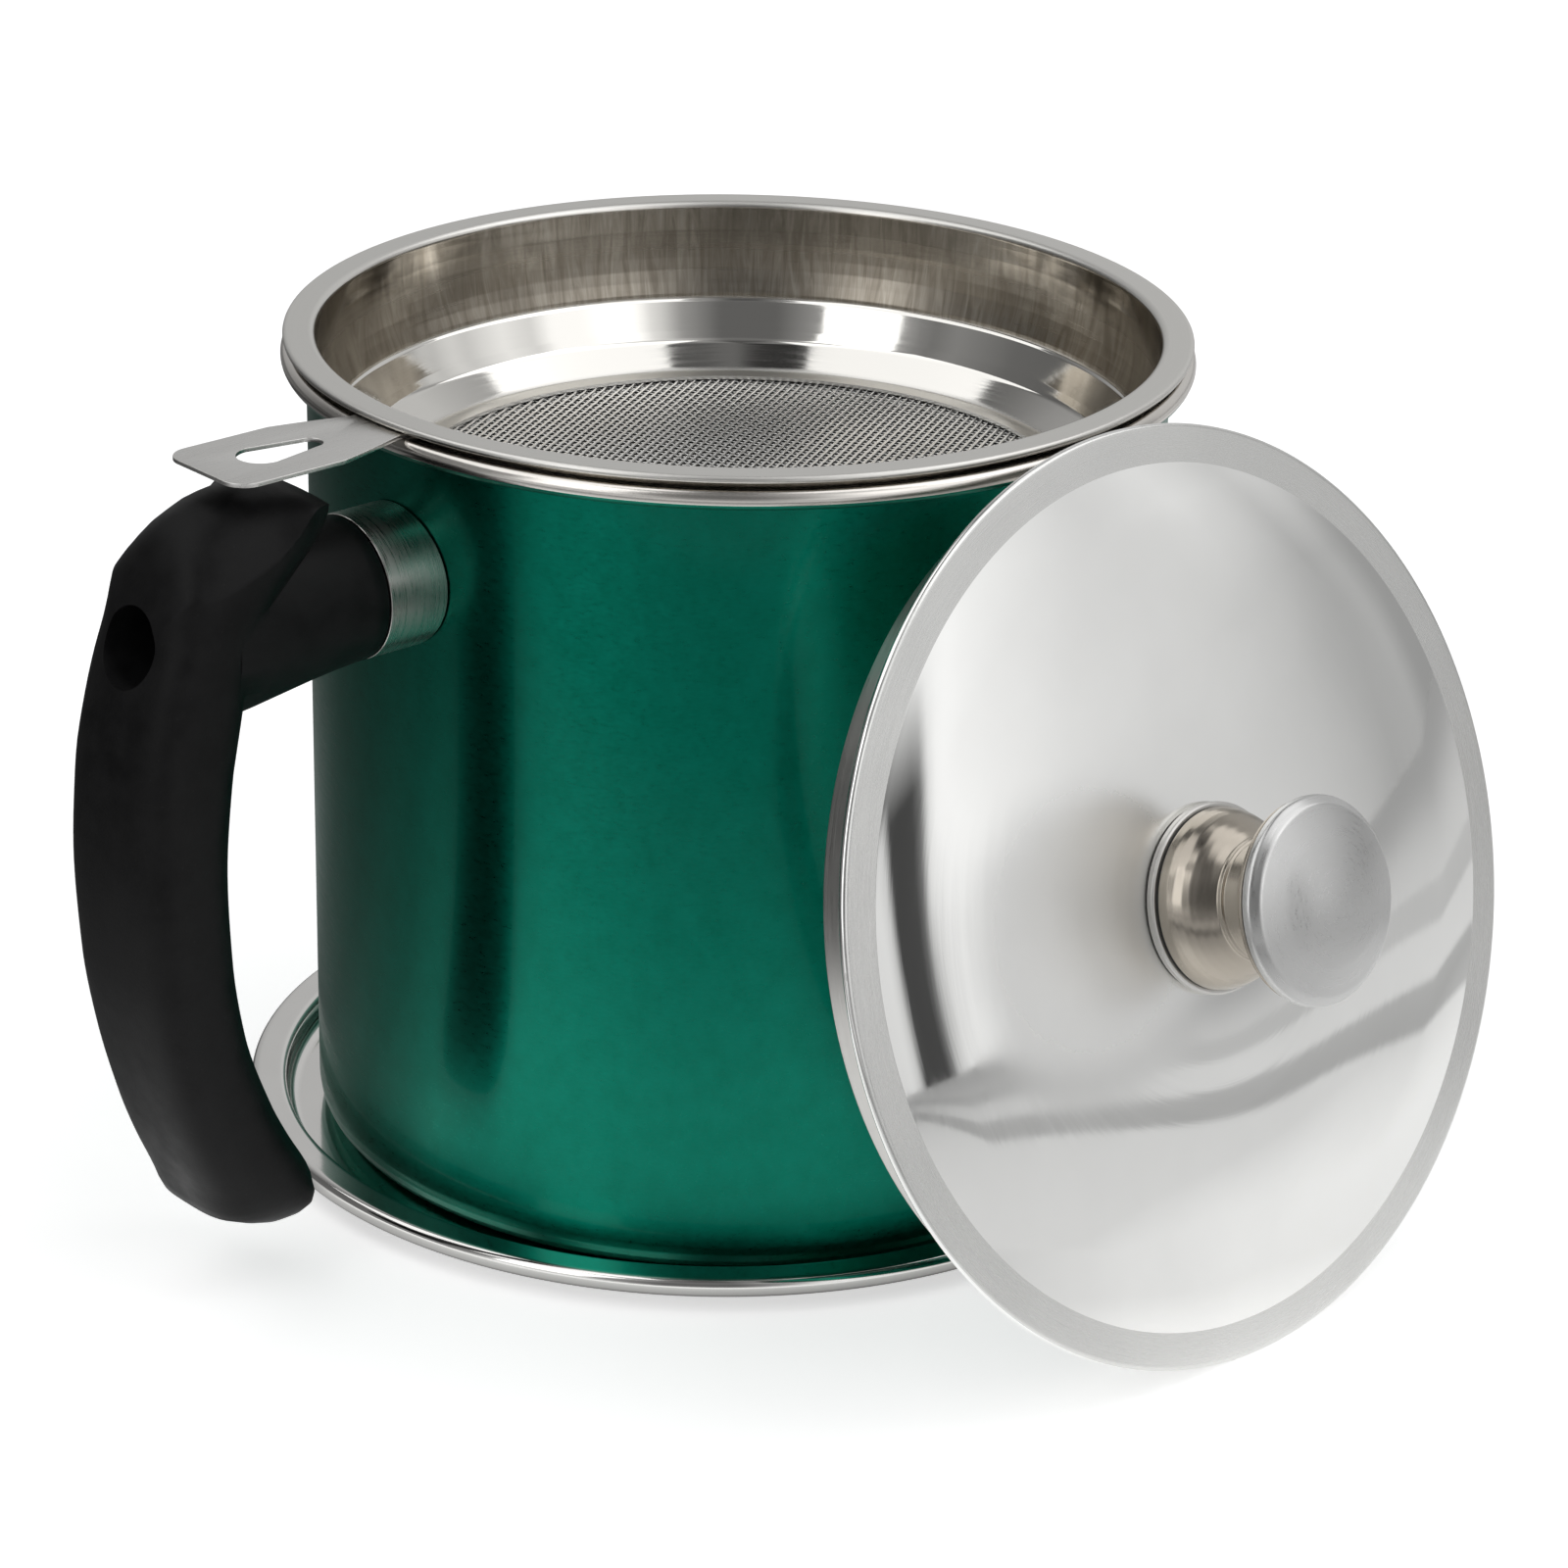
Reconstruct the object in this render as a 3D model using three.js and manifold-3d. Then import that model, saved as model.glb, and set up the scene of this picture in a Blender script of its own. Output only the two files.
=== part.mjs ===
// Grease keeper: a lacquered pot with one side handle, standing in a drip tray,
// with a mesh strainer in its mouth and its lid leaning against its side.
// Sizes are in millimetres. The Z axis is the pot's axis, and the floor is at zero.

import * as THREE from 'three';
import { mergeGeometries, mergeVertices } from 'three/addons/utils/BufferGeometryUtils.js';
import Module from 'manifold-3d';

const wasm = await Module();
wasm.setup();

// Fits and counts

const seat_gap = 0.3;
const overrun = 4;
const wide_sides = 40;
const knob_sides = 24;
const small_sides = 16;
const bend_steps = 3;
const curl_steps = 6;
const dome_steps = 4;

// Pot

const pot_sheet = 0.6;
const pot_radius = 70.85;
const pot_height = 136.8;
const pot_foot_bend = 5.5;
const pot_rim_overhang = 4.15;
const pot_rim_roll = 1.8;
const pot_rim_bend = 0.7;
const pot_rim_curl = 200;

// Drip tray

const tray_sheet = 0.8;
const tray_play = 3.75;
const tray_flange = 6;
const tray_height = 5.8;
const tray_foot_bend = 2.2;
const tray_lip_bend = 0.5;
const tray_hem_radius = 0.9;
const tray_slack_x_share = -0.53;
const tray_slack_y_share = -0.13;

// Handle

const handle_azimuth = 41.3;
const stem_drop = 24.6;
const stem_half_width = 11.9;
const stem_half_height = 11.7;
const stem_flare_height = 14.4;
const ferrule_sheet = 0.8;
const ferrule_length = 10.15;
const spigot_length = 6.4;
const grip_foot = 11.2;
const grip_crown_drop = 3.4;
const grip_standoff = 48.55;
const grip_width = 25.4;
const grip_depth = 18;
const grip_bore_radius = 6.25;
const grip_seat_inset = 17.2;
const boss_radius = 5;
const foot_plate = 1.2;
const foot_plate_radius = 8.4;
const screw_radius = 2.5;
const screw_head_radius = 4.6;
const screw_head_height = 3;
const spring_washer = 1.2;
const spring_washer_slit = 0.8;

// Strainer

const strainer_sheet = 0.6;
const strainer_play = 0.35;
const strainer_rim_inset = 0.4;
const strainer_hem_radius = 0.65;
const strainer_bend = 1.2;
const strainer_wall_depth = 16.9;
const strainer_wall_draw = 2.4;
const strainer_draw_depth = 6.4;
const strainer_ring_width = 3.1;
const strainer_ring_fall = 6.8;
const strainer_slope_width = 5.8;
const strainer_slope_fall = 3.9;
const strainer_lip_width = 3.2;
const mesh_inset = 0.7;
const mesh_thickness = 0.8;
const mesh_rows = 14;
const mesh_bar = 2;
const clamp_inset = 0.4;
const clamp_width = 3.6;
const clamp_thickness = 0.8;

// Lifting tab

const tab_thickness = 0.7;
const tab_length = 36.8;
const tab_pad_length = 1.8;
const tab_root_width = 12.2;
const tab_width = 19.8;
const tab_corner = 4.6;
const slot_margin = 7.5;
const slot_length = 15.2;
const slot_narrow = 2.1;
const slot_wide = 3.9;

// Lid

const lid_lean = 17.35;
const lid_azimuth = 45.7;
const lid_sheet = 0.7;
const lid_inset = 0.95;
const lid_flange = 6.15;
const lid_shoulder_height = 1.84;
const lid_shoulder_run = 9.9;
const lid_dome = 4.3;
const lid_hem_radius = 0.8;
const skirt_play = 0.95;
const skirt_sheet = 0.7;
const skirt_depth = 10.05;
const lid_rest_gap = 0.55;
const lean_steps = 40;

// Knob

const knob_seat_radius = 15.4;
const backplate_radius = 14.9;
const backplate_height = 1.2;
const gasket_radius = 14.2;
const gasket_height = 0.5;
const bell_radius = 14.2;
const bell_height = 18.2;
const bell_neck_radius = 8.7;
const bell_collar_radius = 9.5;
const bell_top_radius = 15.7;
const cap_radius = 16.25;
const cap_height = 5.6;
const cap_edge = 1.5;
const core_radius = 5.6;
const core_head = 1.2;
const lid_screw_radius = 2;
const lid_screw_head_radius = 4.2;
const lid_screw_head_height = 2.4;
const lid_screw_length = 14;
const washer_radius = 6;
const washer_thickness = 1;

// Materials

const polished = { color: 0xc9c8c4, roughness: 0.12, metalness: 1 };
const satin = { color: 0xb4b3ae, roughness: 0.35, metalness: 1 };
const nickel = { color: 0xb9b0a2, roughness: 0.3, metalness: 1 };
const lacquer = { color: 0x0d6f55, roughness: 0.22, metalness: 0.6 };
const phenolic = { color: 0x171717, roughness: 0.6, metalness: 0 };
const zinc = { color: 0xa9adb2, roughness: 0.4, metalness: 1 };

// Solids

function closed(geometry) {
  const bare = geometry.index ? geometry.clone() : mergeVertices(geometry);
  bare.deleteAttribute('normal');
  bare.deleteAttribute('uv');
  const merged = mergeVertices(bare);
  const at = merged.attributes.position;
  const faces = [];
  let volume = 0;
  const [a, b, c] = [new THREE.Vector3(), new THREE.Vector3(), new THREE.Vector3()];
  for (let i = 0; i < merged.index.count; i += 3) {
    const [p, q, r] = [merged.index.getX(i), merged.index.getX(i + 1), merged.index.getX(i + 2)];
    if (p === q || q === r || r === p) continue;
    a.fromBufferAttribute(at, p);
    b.fromBufferAttribute(at, q);
    c.fromBufferAttribute(at, r);
    volume += a.dot(b.cross(c));
    faces.push([p, q, r]);
  }
  const outward = volume > 0 ? faces : faces.map((face) => face.reverse());
  merged.setIndex(outward.flat());
  return merged;
}

function toManifold(geometry) {
  const body = closed(geometry);
  const vertProperties = new Float32Array(body.attributes.position.array);
  const triVerts = new Uint32Array(body.index.array);
  return new wasm.Manifold(new wasm.Mesh({ numProp: 3, vertProperties, triVerts }));
}

function fromManifold(manifold) {
  const mesh = manifold.getMesh();
  const geometry = new THREE.BufferGeometry();
  geometry.setAttribute('position', new THREE.BufferAttribute(mesh.vertProperties, 3));
  geometry.setIndex(new THREE.BufferAttribute(mesh.triVerts, 1));
  return geometry;
}

function cut(geometry, ...tools) {
  const left = tools.reduce((rest, tool) => rest.subtract(toManifold(tool)), toManifold(geometry));
  return fromManifold(left);
}

function join(...geometries) {
  const whole = geometries.map(toManifold).reduce((sum, next) => sum.add(next));
  return fromManifold(whole);
}

// Turned and pressed pieces: an outline of [radius, height] points about the Z axis

function turned(outline, sides) {
  const points = outline.map(([radius, height]) => new THREE.Vector2(radius, height));
  return closed(new THREE.LatheGeometry(points, sides).rotateX(Math.PI / 2));
}

function ring(outline, sides) {
  return turned([...outline, outline[0]], sides);
}

function bend(centre, radius, from, to, steps) {
  const points = [];
  for (let i = 0; i <= steps; i++) {
    const angle = THREE.MathUtils.degToRad(from + ((to - from) * i) / steps);
    points.push([centre[0] + radius * Math.cos(angle), centre[1] + radius * Math.sin(angle)]);
  }
  return points;
}

// The second face of a sheet lies to the left of its path
function offset(path, thickness) {
  return path.map((point, i) => {
    const before = path[Math.max(i - 1, 0)];
    const after = path[Math.min(i + 1, path.length - 1)];
    const into = new THREE.Vector2(point[0] - before[0], point[1] - before[1]).normalize();
    const out = new THREE.Vector2(after[0] - point[0], after[1] - point[1]).normalize();
    if (i === 0) into.copy(out);
    if (i === path.length - 1) out.copy(into);
    const along = into.clone().add(out).normalize();
    const spread = thickness / Math.max(along.dot(into), Math.SQRT1_2);
    return [point[0] - along.y * spread, point[1] + along.x * spread];
  });
}

function sheet(path, thickness) {
  return [...path, ...offset(path, thickness).reverse()];
}

// Lofts: each station is a ring of [x, y, z] points, capped at both ends

function loft(stations) {
  const count = stations[0].length;
  const points = stations.flat();
  const faces = [];
  for (let i = 0; i + 1 < stations.length; i++) {
    for (let j = 0; j < count; j++) {
      const [p, q] = [i * count + j, i * count + ((j + 1) % count)];
      faces.push(p, q, q + count, p, q + count, p + count);
    }
  }
  for (const [start, turn] of [[0, 1], [(stations.length - 1) * count, 0]]) {
    for (let j = 1; j + 1 < count; j++) {
      faces.push(start, start + j + turn, start + j + 1 - turn);
    }
  }
  const geometry = new THREE.BufferGeometry();
  geometry.setAttribute('position', new THREE.Float32BufferAttribute(points.flat(), 3));
  geometry.setIndex(faces);
  return closed(geometry);
}

function roundedRing(half_x, half_y, power, sides) {
  const points = [];
  for (let i = 0; i < sides; i++) {
    const angle = (2 * Math.PI * i) / sides;
    const [c, s] = [Math.cos(angle), Math.sin(angle)];
    const x = half_x * Math.sign(c) * Math.abs(c) ** (2 / power);
    const y = half_y * Math.sign(s) * Math.abs(s) ** (2 / power);
    points.push([x, y]);
  }
  return points;
}

// A rod along X, from one reach to another
function rod(radius, from, to, height, sides) {
  const shape = new THREE.CylinderGeometry(radius, radius, to - from, sides);
  return shape.rotateZ(Math.PI / 2).translate((from + to) / 2, 0, height);
}

function piece(name, geometry, look) {
  const mesh = new THREE.Mesh(geometry, new THREE.MeshStandardMaterial(look));
  mesh.name = name;
  return mesh;
}

// Drip tray, drawn up from its underside

const tray_well_radius = pot_radius + tray_play;
const tray_rim_radius = tray_well_radius + tray_flange;

function dripTray() {
  const outside = tray_well_radius + tray_sheet;
  const foot_bend = tray_foot_bend + tray_sheet;
  const flange = tray_height - tray_sheet;
  const hem = tray_hem_radius - tray_sheet / 2;
  const hem_centre = tray_rim_radius - tray_hem_radius;
  const path = [
    [0, 0],
    ...bend([outside - foot_bend, foot_bend], foot_bend, -90, 0, bend_steps),
    ...bend([outside + tray_lip_bend, flange - tray_lip_bend], tray_lip_bend, 180, 90, bend_steps),
    ...bend([hem_centre, flange - hem / 2], hem / 2, 90, -90, bend_steps),
  ];
  return piece('drip_tray', turned(sheet(path, tray_sheet), wide_sides), polished);
}

// Pot: the path is its outside, and its rim rolls outwards above the bead's middle

const pot_base = tray_sheet;
const pot_top = pot_base + pot_height;
const pot_rim_radius = pot_radius + pot_rim_overhang;
const bead_height = pot_top - pot_rim_roll;
const bead_reach = pot_rim_radius - pot_rim_roll;

function potShell() {
  const foot = [pot_radius - pot_foot_bend, pot_base + pot_foot_bend];
  const path = [
    [0, pot_base],
    ...bend(foot, pot_foot_bend, -90, 0, bend_steps + 1),
    [pot_radius, bead_height],
  ];
  return piece('pot_shell', turned(sheet(path, pot_sheet), wide_sides), lacquer);
}

function potRim() {
  const roll = pot_rim_roll - pot_sheet;
  const turn = [pot_radius + pot_rim_bend, pot_top - pot_sheet - pot_rim_bend];
  const path = [
    [pot_radius, bead_height],
    ...bend(turn, pot_rim_bend, 180, 90, bend_steps),
    ...bend([bead_reach, bead_height], roll, 90, 90 - pot_rim_curl, curl_steps),
  ];
  return piece('pot_rim', ring(sheet(path, pot_sheet), wide_sides), satin);
}

// Handle, built along X and then turned to its azimuth

const stem_height = pot_top - stem_drop;
const ferrule_start = pot_radius + seat_gap;
const ferrule_reach = pot_radius + ferrule_length;
const spigot_reach = ferrule_reach - spigot_length;
const boss_end = ferrule_reach - foot_plate;
const grip_reach = pot_radius + grip_standoff;
const grip_rise = pot_top - grip_crown_drop - grip_foot;
const seat_reach = grip_reach - grip_seat_inset;
const washer_start = seat_reach + seat_gap;
const screw_head_reach = washer_start + spring_washer + seat_gap;
const screw_bore_radius = screw_radius + seat_gap;

function ovalTube(half_width, half_height, from, to) {
  const stations = [from, to].map((reach) => (
    roundedRing(half_width, half_height, 2, knob_sides).map(([y, z]) => [reach, y, stem_height + z])
  ));
  return loft(stations);
}

function potClearance(radius) {
  const shape = new THREE.CylinderGeometry(radius, radius, 2 * pot_height, 2 * wide_sides);
  return shape.rotateX(Math.PI / 2).translate(0, 0, pot_height);
}

function handleFerrule() {
  const outer = ovalTube(stem_half_width, stem_half_height, pot_radius - overrun, ferrule_reach);
  const inner_width = stem_half_width - ferrule_sheet;
  const inner_height = stem_half_height - ferrule_sheet;
  const inner = ovalTube(inner_width, inner_height, pot_radius - 2 * overrun, ferrule_reach + overrun);
  return piece('handle_ferrule', cut(outer, inner, potClearance(ferrule_start)), satin);
}

function handleBracket() {
  const plate_end = ferrule_start + foot_plate;
  const plate = cut(
    rod(foot_plate_radius, pot_radius - overrun, plate_end, stem_height, knob_sides),
    potClearance(ferrule_start),
  );
  const boss = rod(boss_radius, ferrule_start + foot_plate / 2, boss_end, stem_height, small_sides);
  const thread = rod(screw_bore_radius, plate_end, boss_end + overrun, stem_height, small_sides);
  return piece('handle_bracket', cut(join(plate, boss), thread), zinc);
}

// Grip sections from the bottom up, as shares of its rise, standoff, depth and width
const grip_section_shares = [
  [0.000, 0.621, 0.33, 0.47],
  [0.013, 0.636, 0.69, 0.75],
  [0.037, 0.693, 1.11, 0.91],
  [0.070, 0.722, 1.12, 0.98],
  [0.127, 0.794, 1.07, 1.00],
  [0.184, 0.856, 1.01, 1.00],
  [0.298, 0.944, 0.94, 1.00],
  [0.403, 0.985, 0.96, 1.00],
  [0.525, 1.001, 0.98, 1.00],
  [0.647, 0.978, 1.01, 1.00],
  [0.745, 0.927, 1.04, 1.00],
  [0.826, 0.886, 1.06, 1.00],
  [0.888, 0.802, 1.42, 0.99],
  [0.940, 0.708, 1.69, 0.93],
  [0.968, 0.656, 1.66, 0.81],
  [0.989, 0.609, 1.34, 0.60],
  [1.000, 0.570, 0.78, 0.28],
];
const grip_power = 3.4;

function gripBar() {
  return loft(grip_section_shares.map(([rise, standoff, depth, width]) => {
    const height = grip_foot + rise * grip_rise;
    const section = roundedRing(grip_depth * depth / 2, grip_width * width / 2, grip_power, knob_sides);
    return section.map(([x, y]) => [pot_radius + grip_standoff * standoff + x, y, height]);
  }));
}

function gripStem() {
  const flare_reach = grip_reach - grip_depth / 2;
  const widths = [stem_half_width, stem_half_width, (stem_half_width + grip_width / 2) / 2];
  const heights = [stem_half_height, (stem_half_height + stem_flare_height) / 2, stem_flare_height];
  const reaches = [ferrule_reach + seat_gap, (ferrule_reach + flare_reach) / 2, flare_reach];
  return loft(reaches.map((reach, i) => (
    roundedRing(widths[i], heights[i], 2, knob_sides).map(([y, z]) => [reach, y, stem_height + z])
  )));
}

function handleGrip() {
  const inset = ferrule_sheet + seat_gap;
  const [spigot_width, spigot_height] = [stem_half_width - inset, stem_half_height - inset];
  const spigot = ovalTube(spigot_width, spigot_height, spigot_reach, ferrule_reach + overrun);
  const socket_end = boss_end + seat_gap;
  const socket = rod(boss_radius + seat_gap, spigot_reach - overrun, socket_end, stem_height, small_sides);
  const shank = rod(screw_bore_radius, spigot_reach, grip_reach, stem_height, small_sides);
  const access = rod(grip_bore_radius, seat_reach, grip_reach + grip_depth, stem_height, knob_sides);
  const body = join(gripBar(), gripStem(), spigot);
  return piece('handle_grip', cut(body, socket, shank, access), phenolic);
}

function handleScrew() {
  const tip = ferrule_start + foot_plate + seat_gap;
  const shank = rod(screw_radius, tip, screw_head_reach + seat_gap, stem_height, small_sides);
  const head_end = screw_head_reach + screw_head_height;
  const head = rod(screw_head_radius, screw_head_reach, head_end, stem_height, small_sides);
  const slot_width = screw_head_radius / 4;
  const slot_depth = screw_head_height / 2;
  const slot = new THREE.BoxGeometry(screw_head_height, slot_width, screw_head_radius * 3);
  slot.translate(head_end - slot_depth + screw_head_height / 2, 0, stem_height);
  return piece('handle_screw', cut(join(shank, head), slot), zinc);
}

function handleSpringWasher() {
  const end = washer_start + spring_washer;
  const disc = rod(screw_head_radius, washer_start, end, stem_height, small_sides);
  const bore = rod(screw_bore_radius, washer_start - overrun, end + overrun, stem_height, small_sides);
  const slit = new THREE.BoxGeometry(spring_washer * 3, spring_washer_slit, screw_head_radius * 2);
  slit.translate((washer_start + end) / 2, 0, stem_height + screw_head_radius);
  return piece('handle_spring_washer', cut(disc, bore, slit), zinc);
}

// Strainer: it hangs by its rim, on the tab that lies on the pot's rim

const tab_base = pot_top;
const tab_top = tab_base + tab_thickness;
const strainer_top = tab_top + seat_gap / 3 + 2 * strainer_hem_radius;
const strainer_seat = strainer_top - strainer_sheet;
const strainer_wall_end = strainer_top - strainer_wall_depth;
const strainer_ring_end = strainer_wall_end - strainer_ring_fall;
const strainer_floor = strainer_ring_end - strainer_slope_fall;
const mesh_base = strainer_floor - strainer_sheet - mesh_thickness;

const strainer_rim_radius = pot_rim_radius - strainer_rim_inset;
const strainer_wall_radius = pot_radius - pot_sheet - strainer_play;
const strainer_foot_radius = strainer_wall_radius - strainer_wall_draw;
const strainer_ring_radius = strainer_foot_radius - strainer_ring_width;
const strainer_lip_radius = strainer_ring_radius - strainer_slope_width;
const mesh_radius = strainer_lip_radius - mesh_inset;
const clamp_radius = strainer_lip_radius - clamp_inset;
const clamp_opening = clamp_radius - clamp_width;

// The path is the basket's underside, from its lip up to its rolled rim
function strainerBasket() {
  const hem = strainer_hem_radius - strainer_sheet;
  const hem_centre = [strainer_rim_radius - strainer_hem_radius, strainer_top - strainer_hem_radius];
  const fillet = [strainer_wall_radius + strainer_bend, strainer_seat - strainer_bend];
  const path = [
    [strainer_lip_radius - strainer_lip_width, strainer_floor - strainer_sheet],
    [strainer_lip_radius, strainer_floor - strainer_sheet],
    [strainer_ring_radius, strainer_ring_end],
    [strainer_foot_radius, strainer_wall_end],
    [strainer_wall_radius, strainer_wall_end + strainer_draw_depth],
    ...bend(fillet, strainer_bend, 180, 90, bend_steps),
    ...bend(hem_centre, hem, 90, -90, bend_steps + 1),
  ];
  return piece('strainer_basket', ring(sheet(path, strainer_sheet), wide_sides), satin);
}

// Flat net: square gaps in rows, kept inside the ring that clamps its edge
function strainerMesh() {
  const pitch = (2 * clamp_opening) / mesh_rows;
  const gap = pitch - mesh_bar;
  const reach = clamp_opening - mesh_bar / 2;
  const gaps = [];
  for (let i = 0; i < mesh_rows; i++) {
    for (let j = 0; j < mesh_rows; j++) {
      const x = (i + 1 / 2) * pitch - clamp_opening;
      const y = (j + 1 / 2) * pitch - clamp_opening;
      if (Math.hypot(Math.abs(x) + gap / 2, Math.abs(y) + gap / 2) > reach) continue;
      gaps.push(new THREE.BoxGeometry(gap, gap, 3 * mesh_thickness).translate(x, y, mesh_base));
    }
  }
  const disc = turned([
    [0, mesh_base],
    [mesh_radius, mesh_base],
    [mesh_radius, mesh_base + mesh_thickness],
    [0, mesh_base + mesh_thickness],
  ], wide_sides);
  return piece('strainer_mesh', cut(disc, mergeGeometries(gaps)), satin);
}

function meshClampRing() {
  const base = mesh_base - clamp_thickness;
  const outline = [
    [clamp_opening, base],
    [clamp_radius, base],
    [clamp_radius, mesh_base],
    [clamp_opening, mesh_base],
  ];
  return piece('mesh_clamp_ring', ring(outline, wide_sides), satin);
}

const tab_root_reach = strainer_wall_radius + strainer_bend + seat_gap / 3;
const tab_reach = tab_root_reach + tab_length;

// Tab outline along X, widening from its root to two round corners
function tabShape() {
  const [root, tip] = [tab_root_width / 2, tab_width / 2];
  const shoulder = tab_reach - tab_width;
  const shape = new THREE.Shape();
  shape.moveTo(tab_root_reach, -root);
  shape.lineTo(pot_rim_radius, -root);
  shape.quadraticCurveTo((pot_rim_radius + shoulder) / 2, -tip + root / 4, shoulder, -tip);
  shape.lineTo(tab_reach - tab_corner, -tip);
  shape.absarc(tab_reach - tab_corner, -tip + tab_corner, tab_corner, -Math.PI / 2, 0);
  shape.absarc(tab_reach - tab_corner, tip - tab_corner, tab_corner, 0, Math.PI / 2);
  shape.lineTo(shoulder, tip);
  shape.quadraticCurveTo((pot_rim_radius + shoulder) / 2, tip - root / 4, pot_rim_radius, root);
  shape.lineTo(tab_root_reach, root);
  const slot_end = tab_reach - slot_margin;
  const [near, far] = [slot_end - slot_length + slot_narrow, slot_end - slot_wide];
  const slot = new THREE.Path();
  slot.absarc(near, 0, slot_narrow, -Math.PI / 2, Math.PI / 2, true);
  slot.absarc(far, 0, slot_wide, Math.PI / 2, -Math.PI / 2, true);
  shape.holes.push(slot);
  return shape;
}

function strainerTab() {
  const plate = new THREE.ExtrudeGeometry(tabShape(), {
    depth: tab_thickness,
    bevelEnabled: false,
    curveSegments: curl_steps,
  });
  const pad_height = strainer_seat - tab_base;
  const pad = new THREE.BoxGeometry(tab_pad_length, tab_root_width, pad_height);
  pad.translate(tab_root_reach + tab_pad_length / 2, 0, pad_height / 2);
  return piece('strainer_tab', join(plate, pad).translate(0, 0, tab_base), satin);
}

// Lid, built about its own Z axis with its flange's middle at zero

const lid_radius = pot_rim_radius - lid_inset;
const skirt_radius = strainer_wall_radius - strainer_sheet - skirt_play;
const flange_under = -lid_sheet / 2;
const dome_radius = lid_radius - lid_flange;
const dome_seat = lid_dome + flange_under + lid_sheet;

const skirt_top = flange_under - seat_gap;
const skirt_end = flange_under - skirt_depth;

// Part of the shoulder's height that is reached halfway along its run
const shoulder_middle_share = 0.6;

function lidProfile() {
  const hem_centre = [lid_radius - lid_hem_radius, flange_under + lid_sheet - lid_hem_radius];
  const shoulder_radius = dome_radius - lid_shoulder_run;
  const screw_hole = lid_screw_radius + seat_gap;
  const dome = [];
  for (let i = 0; i <= dome_steps; i++) {
    const radius = knob_seat_radius + ((shoulder_radius - knob_seat_radius) * i) / dome_steps;
    const fall = ((radius - knob_seat_radius) / (shoulder_radius - knob_seat_radius)) ** 2;
    dome.push([radius, flange_under + lid_dome - (lid_dome - lid_shoulder_height) * fall]);
  }
  const path = [
    [screw_hole, flange_under + lid_dome],
    ...dome,
    [dome_radius - lid_shoulder_run / 2, flange_under + lid_shoulder_height * shoulder_middle_share],
    [dome_radius, flange_under],
    ...bend(hem_centre, lid_hem_radius - lid_sheet, 90, -90, bend_steps + 1),
  ];
  return sheet(path, lid_sheet);
}

function skirtProfile() {
  return [
    [skirt_radius - skirt_sheet, skirt_end],
    [skirt_radius, skirt_end],
    [skirt_radius, skirt_top],
    [skirt_radius - skirt_sheet, skirt_top],
  ];
}

function lidShell() {
  return piece('lid_shell', ring(lidProfile(), wide_sides), polished);
}

function lidSkirt() {
  return piece('lid_skirt', ring(skirtProfile(), wide_sides), satin);
}

// Knob, stacked on the dome's flat middle

const backplate_base = dome_seat + seat_gap;
const backplate_top = backplate_base + backplate_height;
const gasket_base = backplate_top + seat_gap;
const gasket_top = gasket_base + gasket_height;
const bell_base = gasket_top + seat_gap;
const bell_top = bell_base + bell_height;
const cap_base = bell_top + seat_gap;
const core_bore_radius = lid_screw_radius + seat_gap;

function knobBackplate() {
  const outline = [
    [core_bore_radius, backplate_base],
    [backplate_radius - backplate_height / 3, backplate_base],
    [backplate_radius, backplate_base + backplate_height / 3],
    [backplate_radius, backplate_top - backplate_height / 5],
    [backplate_radius - backplate_height / 5, backplate_top],
    [core_bore_radius, backplate_top],
  ];
  return piece('knob_backplate', ring(outline, knob_sides), satin);
}

function knobGasket() {
  const outline = [
    [core_bore_radius, gasket_base],
    [gasket_radius, gasket_base],
    [gasket_radius, gasket_top],
    [core_bore_radius, gasket_top],
  ];
  return piece('knob_gasket', ring(outline, knob_sides), phenolic);
}

// Bell outside from its base up, as shares of its height and of the way from neck to edge
const bell_shoulder_shares = [
  [0.00, 1.00],
  [0.08, 0.96],
  [0.22, 0.78],
  [0.36, 0.48],
];
const bell_collar_shares = [0.46, 0.51];
const bell_flare_shares = [
  [0.53, 0.00],
  [0.66, 0.00],
  [0.80, 0.22],
  [0.92, 0.60],
  [0.97, 1.00],
  [1.00, 1.00],
];

function knobBell() {
  const level = (share) => bell_base + bell_height * share;
  const widened = (edge) => ([rise, share]) => (
    [bell_neck_radius + (edge - bell_neck_radius) * share, level(rise)]
  );
  const bore = core_radius + seat_gap;
  const outline = [
    [bore, bell_base],
    ...bell_shoulder_shares.map(widened(bell_radius)),
    ...bell_collar_shares.map((share) => [bell_collar_radius, level(share)]),
    ...bell_flare_shares.map(widened(bell_top_radius)),
    [bore, bell_top],
  ];
  return piece('knob_bell', ring(outline, knob_sides), nickel);
}

function knobCore() {
  const outline = [
    [core_bore_radius, bell_base],
    [core_radius, bell_base],
    [core_radius, bell_top],
    [0, bell_top],
    [0, bell_top - core_head],
    [core_bore_radius, bell_top - core_head],
  ];
  return piece('knob_core', ring(outline, small_sides), zinc);
}

function knobCap() {
  const crown = cap_height - cap_edge;
  const outside = [];
  for (let i = 0; i <= curl_steps; i++) {
    const angle = (Math.PI / 2) * (i / curl_steps);
    outside.push([cap_radius * Math.cos(angle), cap_base + cap_edge + crown * Math.sin(angle)]);
  }
  outside[curl_steps][0] = 0;
  const outline = [
    [0, cap_base],
    [cap_radius - cap_edge / 2, cap_base],
    [cap_radius, cap_base + cap_edge / 2],
    ...outside,
  ];
  return piece('knob_cap', turned(outline, knob_sides), polished);
}

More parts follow.
